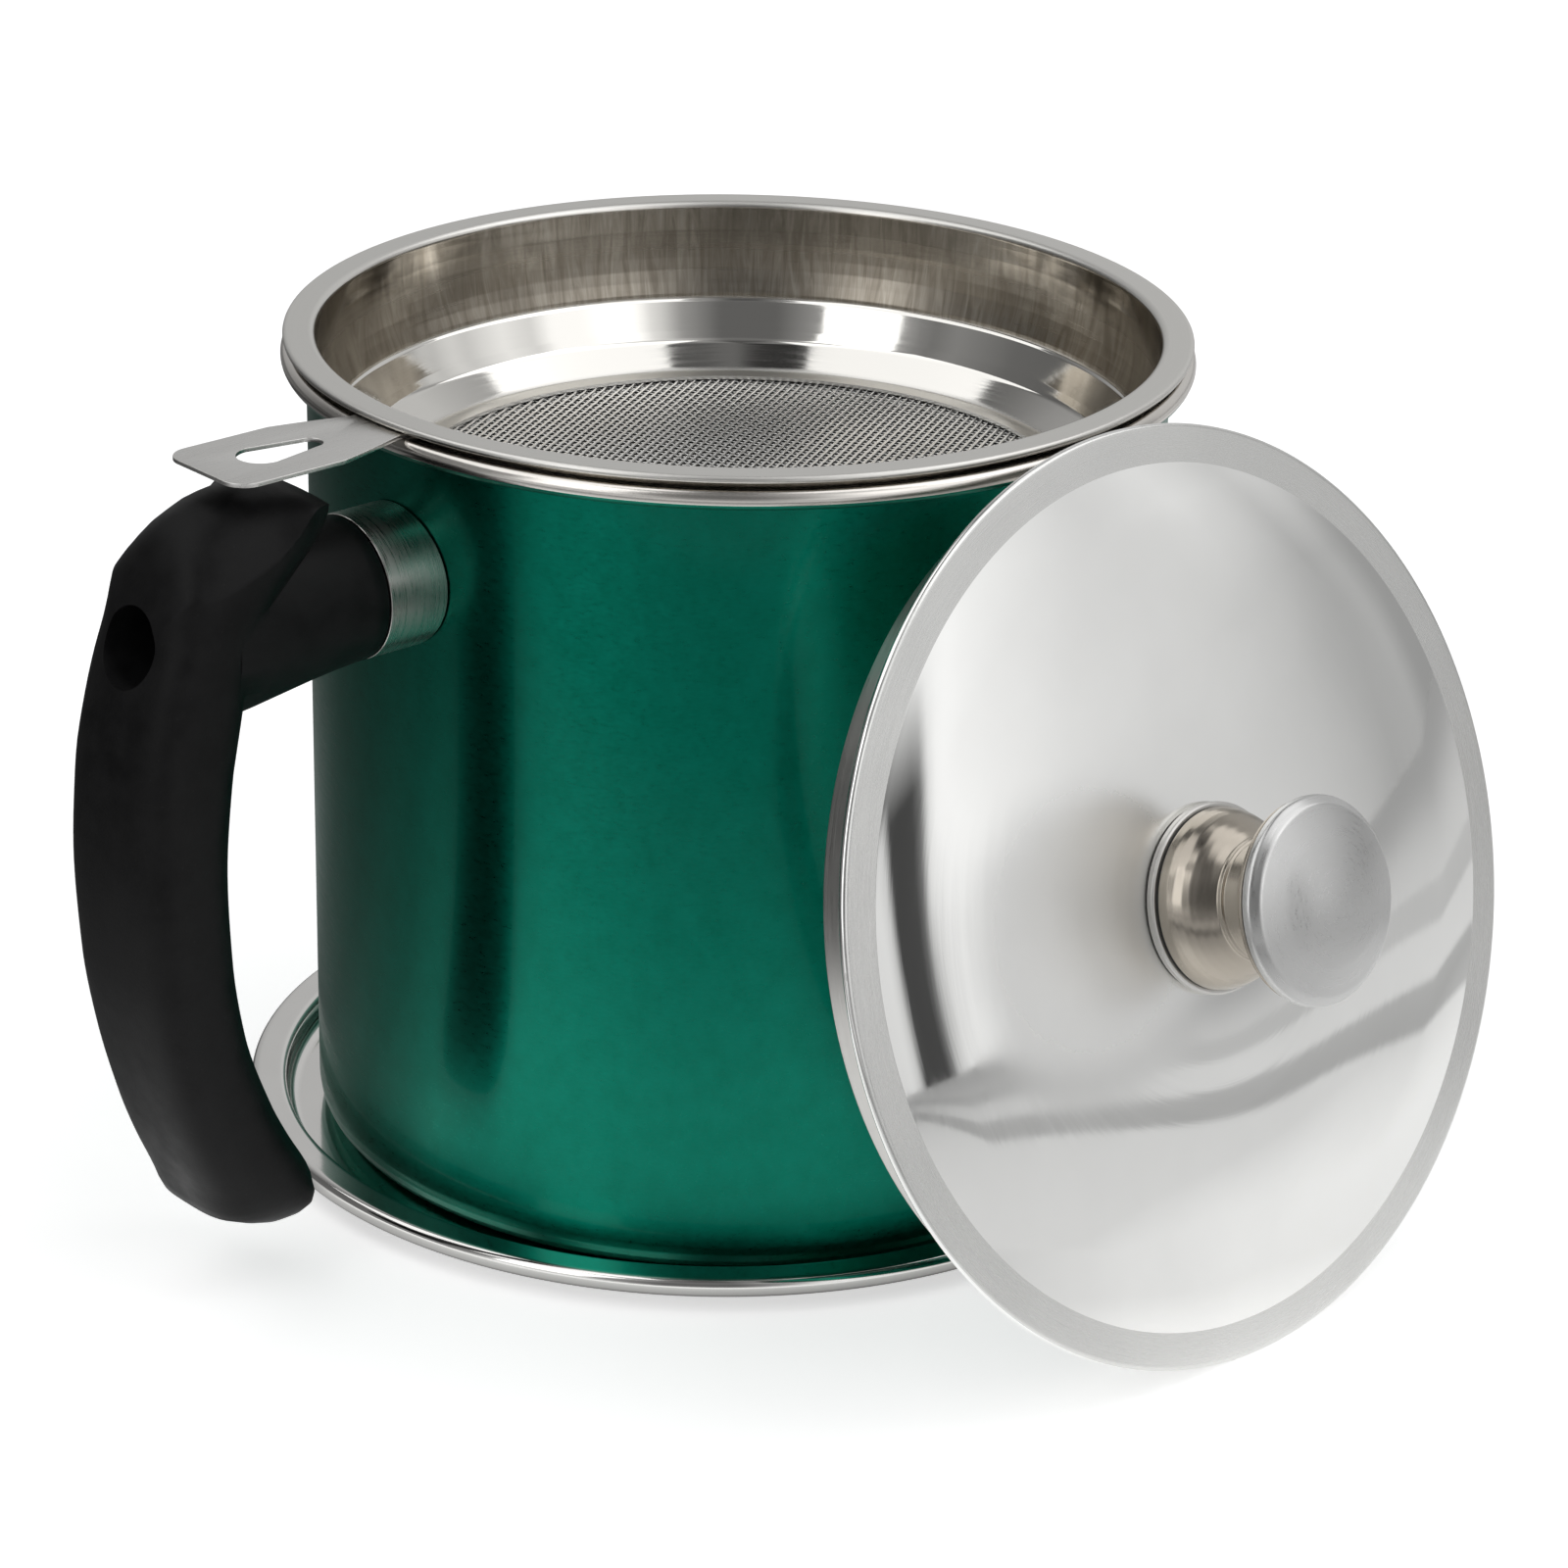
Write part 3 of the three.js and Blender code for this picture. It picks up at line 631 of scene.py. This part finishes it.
def strainer():
    top, floor_level, sheet = STRAINER_TOP, STRAINER_FLOOR, 0.6
    mouth, wall, edge, curl = 55.4, 69.3, RIM_RADIUS - 0.4, 0.65
    hem = arc(edge - curl, top - curl, curl, 90, -150, 14)
    upper = held(rounded([
        (mouth, floor_level), (58.3, floor_level, 1.2), (63.75, 115.9, 2.2),
        (64.6, 117.6, 6.0), (66.7, 122.3, 0.5), (67.15, 122.7, 0.4), (67.2, 123.6, 1.0),
        (67.9, 125.6), (68.45, 127.6), (68.85, 129.8), (69.1, 132.2), (69.25, 134.8),
        (wall, 137.4), (wall, top, 1.3), (edge - curl, top),
    ], steps=8))
    under = held(rounded([
        (73.0, top - sheet), (wall + sheet, top - sheet, 1.0), (wall + sheet, 129.3, 6.0),
        (67.7, 122.6, 1.2), (64.4, 115.8, 1.2), (58.6, floor_level - sheet, 1.2),
        (mouth, floor_level - sheet),
    ]))
    lathe("strainer_bowl", upper[:-1] + hem + under, warm_steel, "strainer",
          ["strainer_basket"])
    ring = band(54.8, 58.2, 109.9, 110.7, (0, 0.35, 0, 0.35))
    lathe("net_clamp", ring, satin, "strainer", ["mesh_clamp_ring"])


strainer()


def woven_net(name, radius, pitch, thick, turn):
    """Two sets of wires, each passing over and under the other in turn."""
    verts, faces = [], []
    sides = 5
    count = int(radius / pitch)
    # Each set's direction, level, gauge, and how far its knuckles rise
    for angle, level, gauge, knuckle in (
        (turn, NET_LEVEL + 0.08, thick, 0.05),
        (turn + math.pi / 2, NET_LEVEL - 0.16, thick * 0.4, -0.1),
    ):
        way = Vector((math.cos(angle), math.sin(angle), 0))
        across = Vector((-way.y, way.x, 0))
        for i in range(-count, count + 1):
            half = math.sqrt(max(radius ** 2 - (i * pitch) ** 2, 0))
            if half < pitch:
                continue
            steps = int(half / (pitch / 2))
            first = len(verts)
            for k in range(-steps, steps + 1):
                rise = 0.0
                if k % 2 == 0:
                    rise = knuckle * (1 if (k // 2 + i) % 2 == 0 else -1)
                centre = way * (k * pitch / 2) + across * (i * pitch)
                centre += Vector((0, 0, level + rise))
                for j in range(sides):
                    a = 2 * math.pi * (j + 0.5) / sides
                    out = across * (0.5 * gauge * math.cos(a))
                    high = Vector((0, 0, 0.5 * gauge * math.sin(a)))
                    verts.append((centre + out + high) * MM)
            last = first + 2 * steps * sides
            for ring in range(first, last, sides):
                for j in range(sides):
                    a, b = ring + j, ring + (j + 1) % sides
                    faces.append((a, b, b + sides, a + sides))
            faces.append(tuple(first + j for j in range(sides))[::-1])
            faces.append(tuple(last + j for j in range(sides)))
    obj = mesh_object(name, verts, faces, crease=80)
    finish(obj, net_wire, "strainer", ["strainer_mesh"])


woven_net("woven_net", radius=56.6, pitch=1.3, thick=0.56, turn=math.radians(70))


def outline_plate(name, outer, hole, low, high, edge):
    """A flat plate with one hole, its edges eased."""
    curve_data = bpy.data.curves.new(name, "CURVE")
    curve_data.dimensions = "2D"
    curve_data.fill_mode = "BOTH"
    curve_data.extrude = (high - low) / 2 * MM - edge * MM
    curve_data.bevel_depth = edge * MM
    curve_data.bevel_resolution = 2
    curve_data.offset = -edge * MM
    for loop in (outer, hole):
        spline = curve_data.splines.new("POLY")
        spline.points.add(len(loop) - 1)
        for point, (x, y) in zip(spline.points, loop):
            point.co = (x * MM, y * MM, 0, 1)
        spline.use_cyclic_u = True
    holder = bpy.data.objects.new(name + "_curve", curve_data)
    bpy.context.scene.collection.objects.link(holder)
    drawn = holder.evaluated_get(bpy.context.evaluated_depsgraph_get())
    mesh = bpy.data.meshes.new_from_object(drawn)
    bpy.data.objects.remove(holder)
    verts = [v.co + Vector((0, 0, (low + high) / 2 * MM)) for v in mesh.vertices]
    faces = [tuple(p.vertices) for p in mesh.polygons]
    return mesh_object(name, verts, faces, crease=30)


def quad_bezier(a, b, c, steps=12):
    result = []
    for i in range(1, steps + 1):
        t = i / steps
        result.append(tuple(
            (1 - t) ** 2 * p + 2 * t * (1 - t) * q + t * t * r for p, q, r in zip(a, b, c)
        ))
    return result


def tab():
    root, tip, reach, corner = 6.1, 9.9, 107.997, 4.0
    start = 71.2
    low, high, ease = 137.6, 138.3, 0.12
    shoulder = reach - 2 * tip
    mid = (RIM_RADIUS + shoulder) / 2
    outer = [(start, -root), (RIM_RADIUS, -root)]
    outer += quad_bezier((RIM_RADIUS, -root), (mid, -tip + root / 4), (shoulder, -tip))
    outer += [(reach - corner, -tip)]
    outer += arc(reach - corner, -tip + corner, corner, -90, 0, 12)[1:]
    outer += arc(reach - corner, tip - corner, corner, 0, 90, 12)
    outer += [(shoulder, tip)]
    outer += quad_bezier((shoulder, tip), (mid, tip - root / 4), (RIM_RADIUS, root))
    outer += [(start, root)]
    far, near = 96.6, 87.4
    hole = arc(near, 0, 2.1, 90, 270, 12) + arc(far, 0, 3.9, -90, 90, 16)
    obj = outline_plate("lifting_tab", outer, hole, low, high, ease)
    finish(obj, tab_steel, "strainer", ["strainer_tab"], HANDLE)


tab()


# Lid


def lid():
    top, inner, sheet = 0.35, 0.57, 0.7
    rim, curl = 74.05, 0.8
    seat, shoulder, level, edge = 15.4, 58.0, 2.19, 67.9
    dome_rows, shoulder_rows = 48, 16
    hem = arc(rim - curl, top - curl, curl, 90, -150, 14)
    dome = []
    for i in range(dome_rows + 1):
        radius = seat + (shoulder - seat) * i / dome_rows
        fall = ((radius - seat) / (shoulder - seat)) ** 2
        dome.append((radius, DOME_CREST - (DOME_CREST - level) * fall))
    slope = 2 * (DOME_CREST - level) / (shoulder - seat)
    bend = (2 * (level - inner) / (edge - shoulder) - 2 * slope) / (edge - shoulder)
    for i in range(1, shoulder_rows + 1):
        run = (edge - shoulder) * i / shoulder_rows
        dome.append((shoulder + run, level - slope * run - bend * run * run / 2))
    foot = rounded([dome[-2], (edge, inner, 0.5), (edge + 2, inner - 0.08)], steps=8)
    upper = (
        [(SCREW_HOLE, DOME_CREST)]
        + [(seat * k / 4, DOME_CREST) for k in (1, 2, 3)]
        + dome[:-1] + foot[1:]
        + [(71, inner - 0.12), (72.3, inner - 0.17), (73.1, top + 0.01)]
    )
    under = [(x, y - sheet) for x, y in upper[::-1] if x < 72.3]

    def which(radius, height, normal):
        return 1 if radius > edge and normal.z > 0.5 else 0

    lathe("lid_dome", upper + hem + under, [dome_steel, flange_steel], "lid", ["lid_shell"],
          LID, turns=384, which=which)
    skirt = band(67.65, 68.35, -10.4, -0.65, (0.3, 0.3, 0, 0))
    lathe("lid_collar", skirt, lid_satin, "lid", ["lid_skirt"], LID)


lid()


# Knob


def knob():
    base = DOME_CREST + 0.3
    level = base + 1.6
    plate = held(rounded([
        (SCREW_HOLE, base), (14.6, base, 0.1), (15.05, base + 0.4, 0.2),
        (15.05, base + 1.35, 0.25), (14.7, level, 0.1), (SCREW_HOLE, level),
    ]))
    lathe("knob_seat", plate, lid_satin, "lid", ["knob_backplate"], LID,
          turns=128)
    foot = level + 0.4
    washer = band(SCREW_HOLE, 14.25, level, foot, (0, 0, 0.1, 0))
    lathe("knob_seal", washer, gasket_black, "lid", ["knob_gasket"], LID,
          turns=128)
    bore, top = 5.9, 25.45
    bell = rounded([
        (bore, foot), (14.35, foot, 0.15), (14.3, foot + 0.35, 0.3), (14.1, foot + 1.5),
        (13.75, foot + 2.6), (13.2, foot + 3.8), (12.5, foot + 4.9), (11.7, foot + 5.9),
        (10.7, foot + 7.0), (9.65, foot + 8.0, 0.5), (9.6, foot + 8.7, 0.25),
        (9.2, foot + 9.0, 0.2), (8.9, foot + 12.0, 3.0), (10.3, foot + 15.0, 4.0),
        (13.4, foot + 17.0, 2.0), (15.5, foot + 17.6, 0.5), (15.75, foot + 18.0, 0.2),
        (15.75, top, 0.2), (bore, top),
    ], steps=8)
    lathe("knob_neck", held(bell), nickel, "lid", ["knob_bell"], LID, turns=160)
    cap, crown_radius, crown_height, crown_fall = 25.6, 11.0, 5.75, 1.4
    rim = rounded([
        (0, cap), (15.6, cap, 0.2), (16.25, cap + 0.6, 0.3), (16.25, cap + 1.7, 1.0),
        (14.9, cap + 3.1, 1.6), (crown_radius, cap + 4.35),
    ], steps=8)
    crown = []
    for i in range(11):
        radius = crown_radius * (1 - i / 10)
        crown.append((radius, cap + crown_height - crown_fall * (radius / crown_radius) ** 2))
    lathe("knob_top", held(rim[:-1]) + crown, aluminium, "lid", ["knob_cap"],
          LID, closed=False, turns=160)


knob()


# Handle: x outwards from the pot's axis, y across, z up


def ellipse(half_y, half_z, power=2.0, count=72):
    points = []
    for k in range(count):
        angle = 2 * math.pi * k / count
        c, s = math.cos(angle), math.sin(angle)
        points.append((
            half_y * math.copysign(abs(c) ** (2 / power), c),
            half_z * math.copysign(abs(s) ** (2 / power), s),
        ))
    return points


def tube_rows(rows, cap=True):
    count = len(rows[0])
    verts = [Vector(p) * MM for row in rows for p in row]
    faces = []
    for i in range(len(rows) - 1):
        for j in range(count):
            a, b = i * count + j, i * count + (j + 1) % count
            faces.append((a, b, b + count, a + count))
    if cap:
        faces.append(tuple(range(count))[::-1])
        faces.append(tuple((len(rows) - 1) * count + j for j in range(count)))
    return verts, faces


def ferrule():
    wide, tall, wall, ease = 11.9, 11.7, 0.8, 0.08
    foot, near, end = POT_RADIUS + 0.3, 75.0, 81.0
    outer, lip, inner = [(wide - less, tall - less) for less in (0, ease, wall)]
    rows = []
    for (half_y, half_z), reach in (
        (outer, None), (outer, near), (outer, end - 0.5), (outer, end - 0.1), (lip, end),
        (inner, end), (inner, end - 0.5), (inner, near), (inner, None),
    ):
        row = []
        for y, z in ellipse(half_y, half_z):
            x = math.sqrt(foot ** 2 - y * y) if reach is None else reach
            row.append((x, y, STEM_HEIGHT + z))
        rows.append(row)
    rows.append(rows[0])
    verts, faces = tube_rows(rows, cap=False)
    obj = mesh_object("ferrule_collar", verts, faces)
    finish(obj, ferrule_steel, "pot", ["handle_ferrule"], HANDLE)


ferrule()

# Grip sections: height, middle, half depth, half width
GRIP = [
    (11.2, 101.0, 3.0, 6.0),
    (12.8, 101.7, 6.2, 9.5),
    (15.75, 104.5, 10.0, 11.6),
    (19.8, 105.9, 10.1, 12.4),
    (26.8, 109.4, 9.6, GRIP_HALF_WIDTH),
    (33.8, 112.4, 9.1, GRIP_HALF_WIDTH),
    (47.9, 116.7, 8.5, GRIP_HALF_WIDTH),
    (60.8, 118.7, 8.6, GRIP_HALF_WIDTH),
    (75.8, 119.4, 8.8, GRIP_HALF_WIDTH),
    (90.8, 118.3, 9.1, GRIP_HALF_WIDTH),
    (102.8, 115.9, 9.4, GRIP_HALF_WIDTH),
    (112.8, 113.1, 9.2, GRIP_HALF_WIDTH),
    (120.4, 108.8, 11.9, GRIP_HALF_WIDTH),
    (126.8, 104.6, 14.7, GRIP_HALF_WIDTH),
    (130.3, 103.0, 15.2, GRIP_HALF_WIDTH),
    (137.0, 102.6, 15.3, GRIP_HALF_WIDTH),
]
# The top's middle line: reach, height
ROOF = [
    (84, 121.0), (86.5, 127.0), (89, 130.6), (92, 132.8), (96, 133.9), (100, 134.2),
    (105.5, 133.9), (111, 132.0), (115, 129.2), (117.6, 125.6), (119.6, 121.0), (122.0, 114.5),
]
# The top's edge: reach, how far it lies below the middle line
DROP = [
    (88, 0.9), (94.7, 1.6), (98, 4.6), (102, 7.7), (108.6, 9.4), (114, 9.0), (119.2, 5.4),
    (124, 2.0),
]


def eased(table, x, column=1):
    """Monotone cubic through the rows of a table."""
    final = len(table) - 1
    if x <= table[0][0]:
        return table[0][column]
    if x >= table[final][0]:
        return table[final][column]
    i = max(k for k in range(final) if table[k][0] <= x)

    def rise(a, b):
        return (table[b][column] - table[a][column]) / (table[b][0] - table[a][0])

    def slope(k):
        if k == 0:
            return rise(0, 1)
        if k == final:
            return rise(final - 1, final)
        d0, d1 = rise(k - 1, k), rise(k, k + 1)
        return 0.0 if d0 * d1 <= 0 else 2 * d0 * d1 / (d0 + d1)

    span = table[i + 1][0] - table[i][0]
    t = (x - table[i][0]) / span
    h00 = (1 + 2 * t) * (1 - t) ** 2
    h10 = t * (1 - t) ** 2
    h01 = t * t * (3 - 2 * t)
    h11 = t * t * (t - 1)
    return (
        h00 * table[i][column] + h10 * span * slope(i)
        + h01 * table[i + 1][column] + h11 * span * slope(i + 1)
    )


def roof(x, y):
    side = min(abs(y) / GRIP_HALF_WIDTH, 1.0)
    return eased(ROOF, x) - eased(DROP, x) * side ** 2.4


def grip_point(turn, height):
    """A squarish section low down, rounder towards the top."""
    c, s = math.cos(turn), math.sin(turn)
    high = min(max((height - 96) / 22, 0), 1)
    power = 3.4 - (0.6 if c > 0 else 0.9) * high
    middle, depth, width = (eased(GRIP, height, column) for column in (1, 2, 3))
    x = middle + depth * math.copysign(abs(c) ** (2 / power), c)
    y = width * math.copysign(abs(s) ** (2 / power), s)
    return x, y


GRIP_TURNS = 96


def grip_rows():
    count = GRIP_TURNS
    turns = [2 * math.pi * (k + 0.5) / count for k in range(count)]

    # Where each side line meets the top, found by halving, then smoothed
    crests = []
    for turn in turns:
        low, high = 100.0, 137.0
        for _ in range(40):
            middle = (low + high) / 2
            if middle < roof(*grip_point(turn, middle)):
                low = middle
            else:
                high = middle
        crests.append(low)
    for _ in range(2):
        crests = [
            (crests[k - 1] + 2 * crests[k] + crests[(k + 1) % count]) / 4 for k in range(count)
        ]

    foot, split, steps = 11.2, 108.0, 44
    rows = []
    for i in range(steps + 1):
        height = foot + (split - foot) * (i / steps) ** 1.15
        rows.append([(*grip_point(turn, height), height) for turn in turns])
    for share in (0.12, 0.25, 0.38, 0.5, 0.62, 0.72, 0.81, 0.88, 0.935, 0.97, 1.0):
        row = []
        for turn, crest in zip(turns, crests):
            height = split + (crest - split) * share
            row.append((*grip_point(turn, height), height))
        rows.append(row)
    edge = rows[-1]
    for inward in (0.03, 0.08, 0.16, 0.27, 0.4, 0.54, 0.68, 0.82, 0.93, 1.0):
        row = []
        for x, y, _ in edge:
            spine = min(max(x, 99.0), 111.0)
            nx = x + (spine - x) * inward
            ny = y * (1 - inward)
            row.append((nx, ny, roof(nx, ny)))
        rows.append(row)
    return rows


def stem_part(name, sections, crease=35.0):
    """A bar along x at the stem's height, from (reach, half width, half height, power) rows."""
    rows = [
        [(reach, y, STEM_HEIGHT + z) for y, z in ellipse(wide, tall, power)]
        for reach, wide, tall, power in sections
    ]
    return mesh_object(name, *tube_rows(rows), crease)


def rod(name, radius, start, end):
    rows = [
        [(reach, y, STEM_HEIGHT + z) for y, z in ellipse(radius, radius, count=48)]
        for reach in (start, end)
    ]
    return mesh_object(name, *tube_rows(rows))


def grip():
    verts, faces = tube_rows(grip_rows(), cap=False)
    faces.append(tuple(range(GRIP_TURNS))[::-1])
    body = mesh_object("grip", verts, faces, crease=50)

    tools = [(stem_part("grip_stem", [
        (81.3, 11.0, 10.9, 2.0), (81.3, 11.7, 11.5, 2.0), (81.55, 11.9, 11.7, 2.0),
        (84, 11.95, 11.75, 2.0), (88, 12.0, 12.1, 2.0), (92, 12.1, 12.6, 2.0),
        (96, 12.2, 13.1, 2.05), (100, 12.3, 13.6, 2.1), (104, 12.4, 14.0, 2.2),
        (110, 12.5, 14.5, 2.3),
    ], crease=50), "UNION")]
    spigot = [(reach, 10.8, 10.6, 2.0) for reach in (74.6, 82.5)]
    tools.append((stem_part("grip_spigot", spigot), "UNION"))
    for name, radius, start, end in (
        ("access", 6.25, 102.2, 140), ("bore", 2.8, 60, 110), ("socket", 5.3, 60, 80.1),
    ):
        tools.append((rod(name, radius, start, end), "DIFFERENCE"))

    for tool, operation in tools:
        change = body.modifiers.new(tool.name, "BOOLEAN")
        change.operation = operation
        change.solver = "EXACT"
        change.object = tool
        shaped = bpy.data.meshes.new_from_object(
            body.evaluated_get(bpy.context.evaluated_depsgraph_get()))
        body.modifiers.clear()
        body.data = shaped
        bpy.data.objects.remove(tool)
    verts = [v.co.copy() for v in body.data.vertices]
    faces = [tuple(p.vertices) for p in body.data.polygons]
    bpy.data.objects.remove(body)
    whole = mesh_object("grip", verts, faces, crease=42)
    finish(whole, black, "pot", ["handle_grip"], HANDLE)


grip()

for node, look in (
    ("handle_bracket", zinc), ("handle_screw", zinc), ("handle_spring_washer", zinc),
    ("knob_core", lid_zinc), ("lid_screw", lid_zinc), ("lid_washer", lid_zinc),
):
    obj = frame["nodes"][node]
    obj.data.materials.clear()
    obj.data.materials.append(look)


# Floor, world and lights: distances in metres, ramps as (position, level)

FLOOR_SIZE = 8
LAMP_DISTANCE = 1.3
LAMP_AIM = Vector((0, 0, 0.07))


def floor():
    """White paper for the camera. Other rays find the studio's darker bands painted on it, with
    painted shade and a painted glow near the pot.
    """
    bpy.ops.mesh.primitive_plane_add(size=FLOOR_SIZE, location=(0, 0, 0))
    plane = bpy.context.object
    plane.name = "floor"
    material = bpy.data.materials.new("floor_paper")
    material.use_nodes = True
    tree = material.node_tree
    paper_with_painted_light = tree.nodes["Principled BSDF"]
    seen = tree.nodes.new("ShaderNodeBsdfPrincipled")
    for shader in (paper_with_painted_light, seen):
        shader.inputs["Roughness"].default_value = 0.9
        shader.inputs["Specular IOR Level"].default_value = 0.1
        shader.inputs["Emission Color"].default_value = WHITE
    seen.inputs["Base Color"].default_value = (0.9, 0.9, 0.9, 1)
    seen.inputs["Emission Strength"].default_value = 0.55

    place = tree.nodes.new("ShaderNodeTexCoord").outputs["Object"]
    x, y, _ = split_xyz(tree, place)
    oval = tree.nodes.new("ShaderNodeMapping")
    oval.inputs["Scale"].default_value = (1, 1.7, 1)
    tree.links.new(place, oval.inputs["Vector"])
    length = tree.nodes.new("ShaderNodeVectorMath")
    length.operation = "LENGTH"
    tree.links.new(oval.outputs[0], length.inputs[0])
    reach = length.outputs["Value"]

    # Painted dark and pale bands, which the metal shows as reflections of a studio.
    around = ramp(tree, reach, [
        (0.14, 0.9), (0.24, 0.8), (0.42, 0.72), (0.5, 0.25), (0.66, 0.3), (0.7, 0.8),
        (1.0, 0.85),
    ])
    slanting = calc(tree, "ADD", x, calc(tree, "MULTIPLY", y, 1.2))
    beyond = ramp(tree, slanting, [
        (0.0, 0.92), (0.3, 0.92), (0.32, 0.54), (0.42, 0.6), (0.44, 0.95), (0.6, 0.95),
        (0.63, 0.72), (0.8, 0.76), (0.84, 0.9), (1.0, 0.9),
    ])
    # Painted shade: dimmer in front and to the left, and in the tray's shade
    dim = ramp(tree, share_of_turn(tree, x, y), [
        (0.0, 0.18), (0.03, 0.22), (0.07, 0.5), (0.09, 1.0), (0.7, 1.0), (0.78, 0.5),
        (0.87, 0.25), (0.92, 0.13), (0.97, 0.12), (1.0, 0.18),
    ])
    near = ramp(tree, distance_to_axis(tree, x, y), [(0.079, 0.12), (0.088, 0.5), (0.1, 1.0)])
    dim = calc(tree, "MULTIPLY", dim, near)
    to_the_right = ramp(tree, x, [(0.12, 0.0), (0.2, 1.0)])
    shade = mix_colours(tree, to_the_right, around, beyond)
    tone = mix_colours(tree, 1.0, shade, dim, "MULTIPLY")
    tree.links.new(tone, paper_with_painted_light.inputs["Base Color"])
    # A painted glow round the pot: for other rays the floor shines near the pot, though it is no
    # lamp.
    glow = ramp(tree, reach, [(0.1, 0.8), (0.22, 0.55), (0.34, 0.0)])
    glow = calc(tree, "MULTIPLY", glow, ramp(tree, x, [(0.04, 1.0), (0.13, 0.4)]))
    tree.links.new(calc(tree, "MULTIPLY", glow, dim), paper_with_painted_light.inputs["Emission Strength"])

    path = tree.nodes.new("ShaderNodeLightPath")
    mix = tree.nodes.new("ShaderNodeMixShader")
    tree.links.new(path.outputs["Is Camera Ray"], mix.inputs[0])
    tree.links.new(paper_with_painted_light.outputs[0], mix.inputs[1])
    tree.links.new(seen.outputs[0], mix.inputs[2])
    tree.links.new(mix.outputs[0], tree.nodes["Material Output"].inputs["Surface"])
    plane.data.materials.append(material)


floor()


def world():
    """White for the camera. Other rays find a studio of soft bands."""
    world_data = bpy.data.worlds.new("studio")
    world_data.use_nodes = True
    tree = world_data.node_tree
    place = tree.nodes.new("ShaderNodeTexCoord").outputs["Generated"]
    x, y, z = split_xyz(tree, place)
    turn = share_of_turn(tree, x, y)

    def by_degrees(stops):
        return ramp(tree, turn, [((degrees + 180) / 360, level) for degrees, level in stops])

    sides = by_degrees([
        (-180, 0.15), (-152, 0.3), (-140, 0.95), (-118, 0.8), (-102, 0.3), (-84, 0.3),
        (-66, 1.0), (-50, 1.0), (-41, 0.74), (-28, 0.74), (-14, 1.0), (-8, 0.86), (-2, 0.7),
        (4, 0.62), (8, 0.52), (11, 0.42), (15, 0.46), (20, 0.34), (28, 0.34), (34, 0.6),
        (80, 0.6), (120, 0.4), (150, 0.12), (180, 0.15),
    ])
    rise = ramp(tree, z, [(0.0, 0.95), (0.1, 1.0), (0.6, 1.0), (0.85, 0.5), (1.0, 0.25)])
    level = calc(tree, "MULTIPLY", sides, rise)
    # Dark cards, then pale panels: how much by direction, and by height
    for across, upward in (
        ([(-25.5, 0.0), (-24.5, 0.93), (-18.5, 0.93), (-16.5, 0.0)],
         [(0.21, 1.0), (0.37, 0.0)]),
        ([(-160, 0.0), (-148, 0.55), (-72, 0.55), (-60, 0.0)],
         [(0.08, 0.0), (0.25, 1.0), (0.6, 1.0), (0.8, 0.0)]),
    ):
        card = calc(tree, "MULTIPLY", by_degrees(across), ramp(tree, z, upward))
        level = calc(tree, "MULTIPLY", level, calc(tree, "SUBTRACT", 1.0, card))
    for across, upward in (
        ([(-62, 0.0), (-55, 0.5), (-30, 0.5), (-24, 0.0)],
         [(0.24, 0.0), (0.36, 1.0), (0.62, 1.0), (0.75, 0.0)]),
        ([(-1, 0.0), (4, 0.16), (17, 0.22), (24, 0.0)],
         [(0.12, 0.0), (0.26, 1.0), (0.5, 1.0), (0.7, 0.0)]),
    ):
        panel = calc(tree, "MULTIPLY", by_degrees(across), ramp(tree, z, upward))
        level = calc(tree, "ADD", level, panel)
    path = tree.nodes.new("ShaderNodeLightPath")
    colour = mix_colours(tree, path.outputs["Is Camera Ray"], level, WHITE)
    tree.links.new(colour, tree.nodes["Background"].inputs["Color"])
    bpy.context.scene.world = world_data


world()


def lamp(name, azimuth, elevation, size, power):
    data = bpy.data.lights.new(name, "AREA")
    data.shape = "RECTANGLE"
    data.size, data.size_y = size
    data.energy = power
    obj = bpy.data.objects.new(name, data)
    a, e = math.radians(azimuth), math.radians(elevation)
    away = Vector((math.cos(a) * math.cos(e), math.sin(a) * math.cos(e), math.sin(e)))
    obj.location = LAMP_AIM + away * LAMP_DISTANCE
    obj.rotation_euler = away.to_track_quat("Z", "Y").to_euler()
    bpy.context.scene.collection.objects.link(obj)


lamp("left_box", azimuth=-130, elevation=30, size=(0.5, 1.0), power=2)
lamp("top_left_box", azimuth=180, elevation=60, size=(1.2, 1.0), power=4.2)
lamp("top_right_box", azimuth=0, elevation=60, size=(1.2, 1.0), power=4.2)

bpy.context.scene.view_settings.view_transform = "Standard"
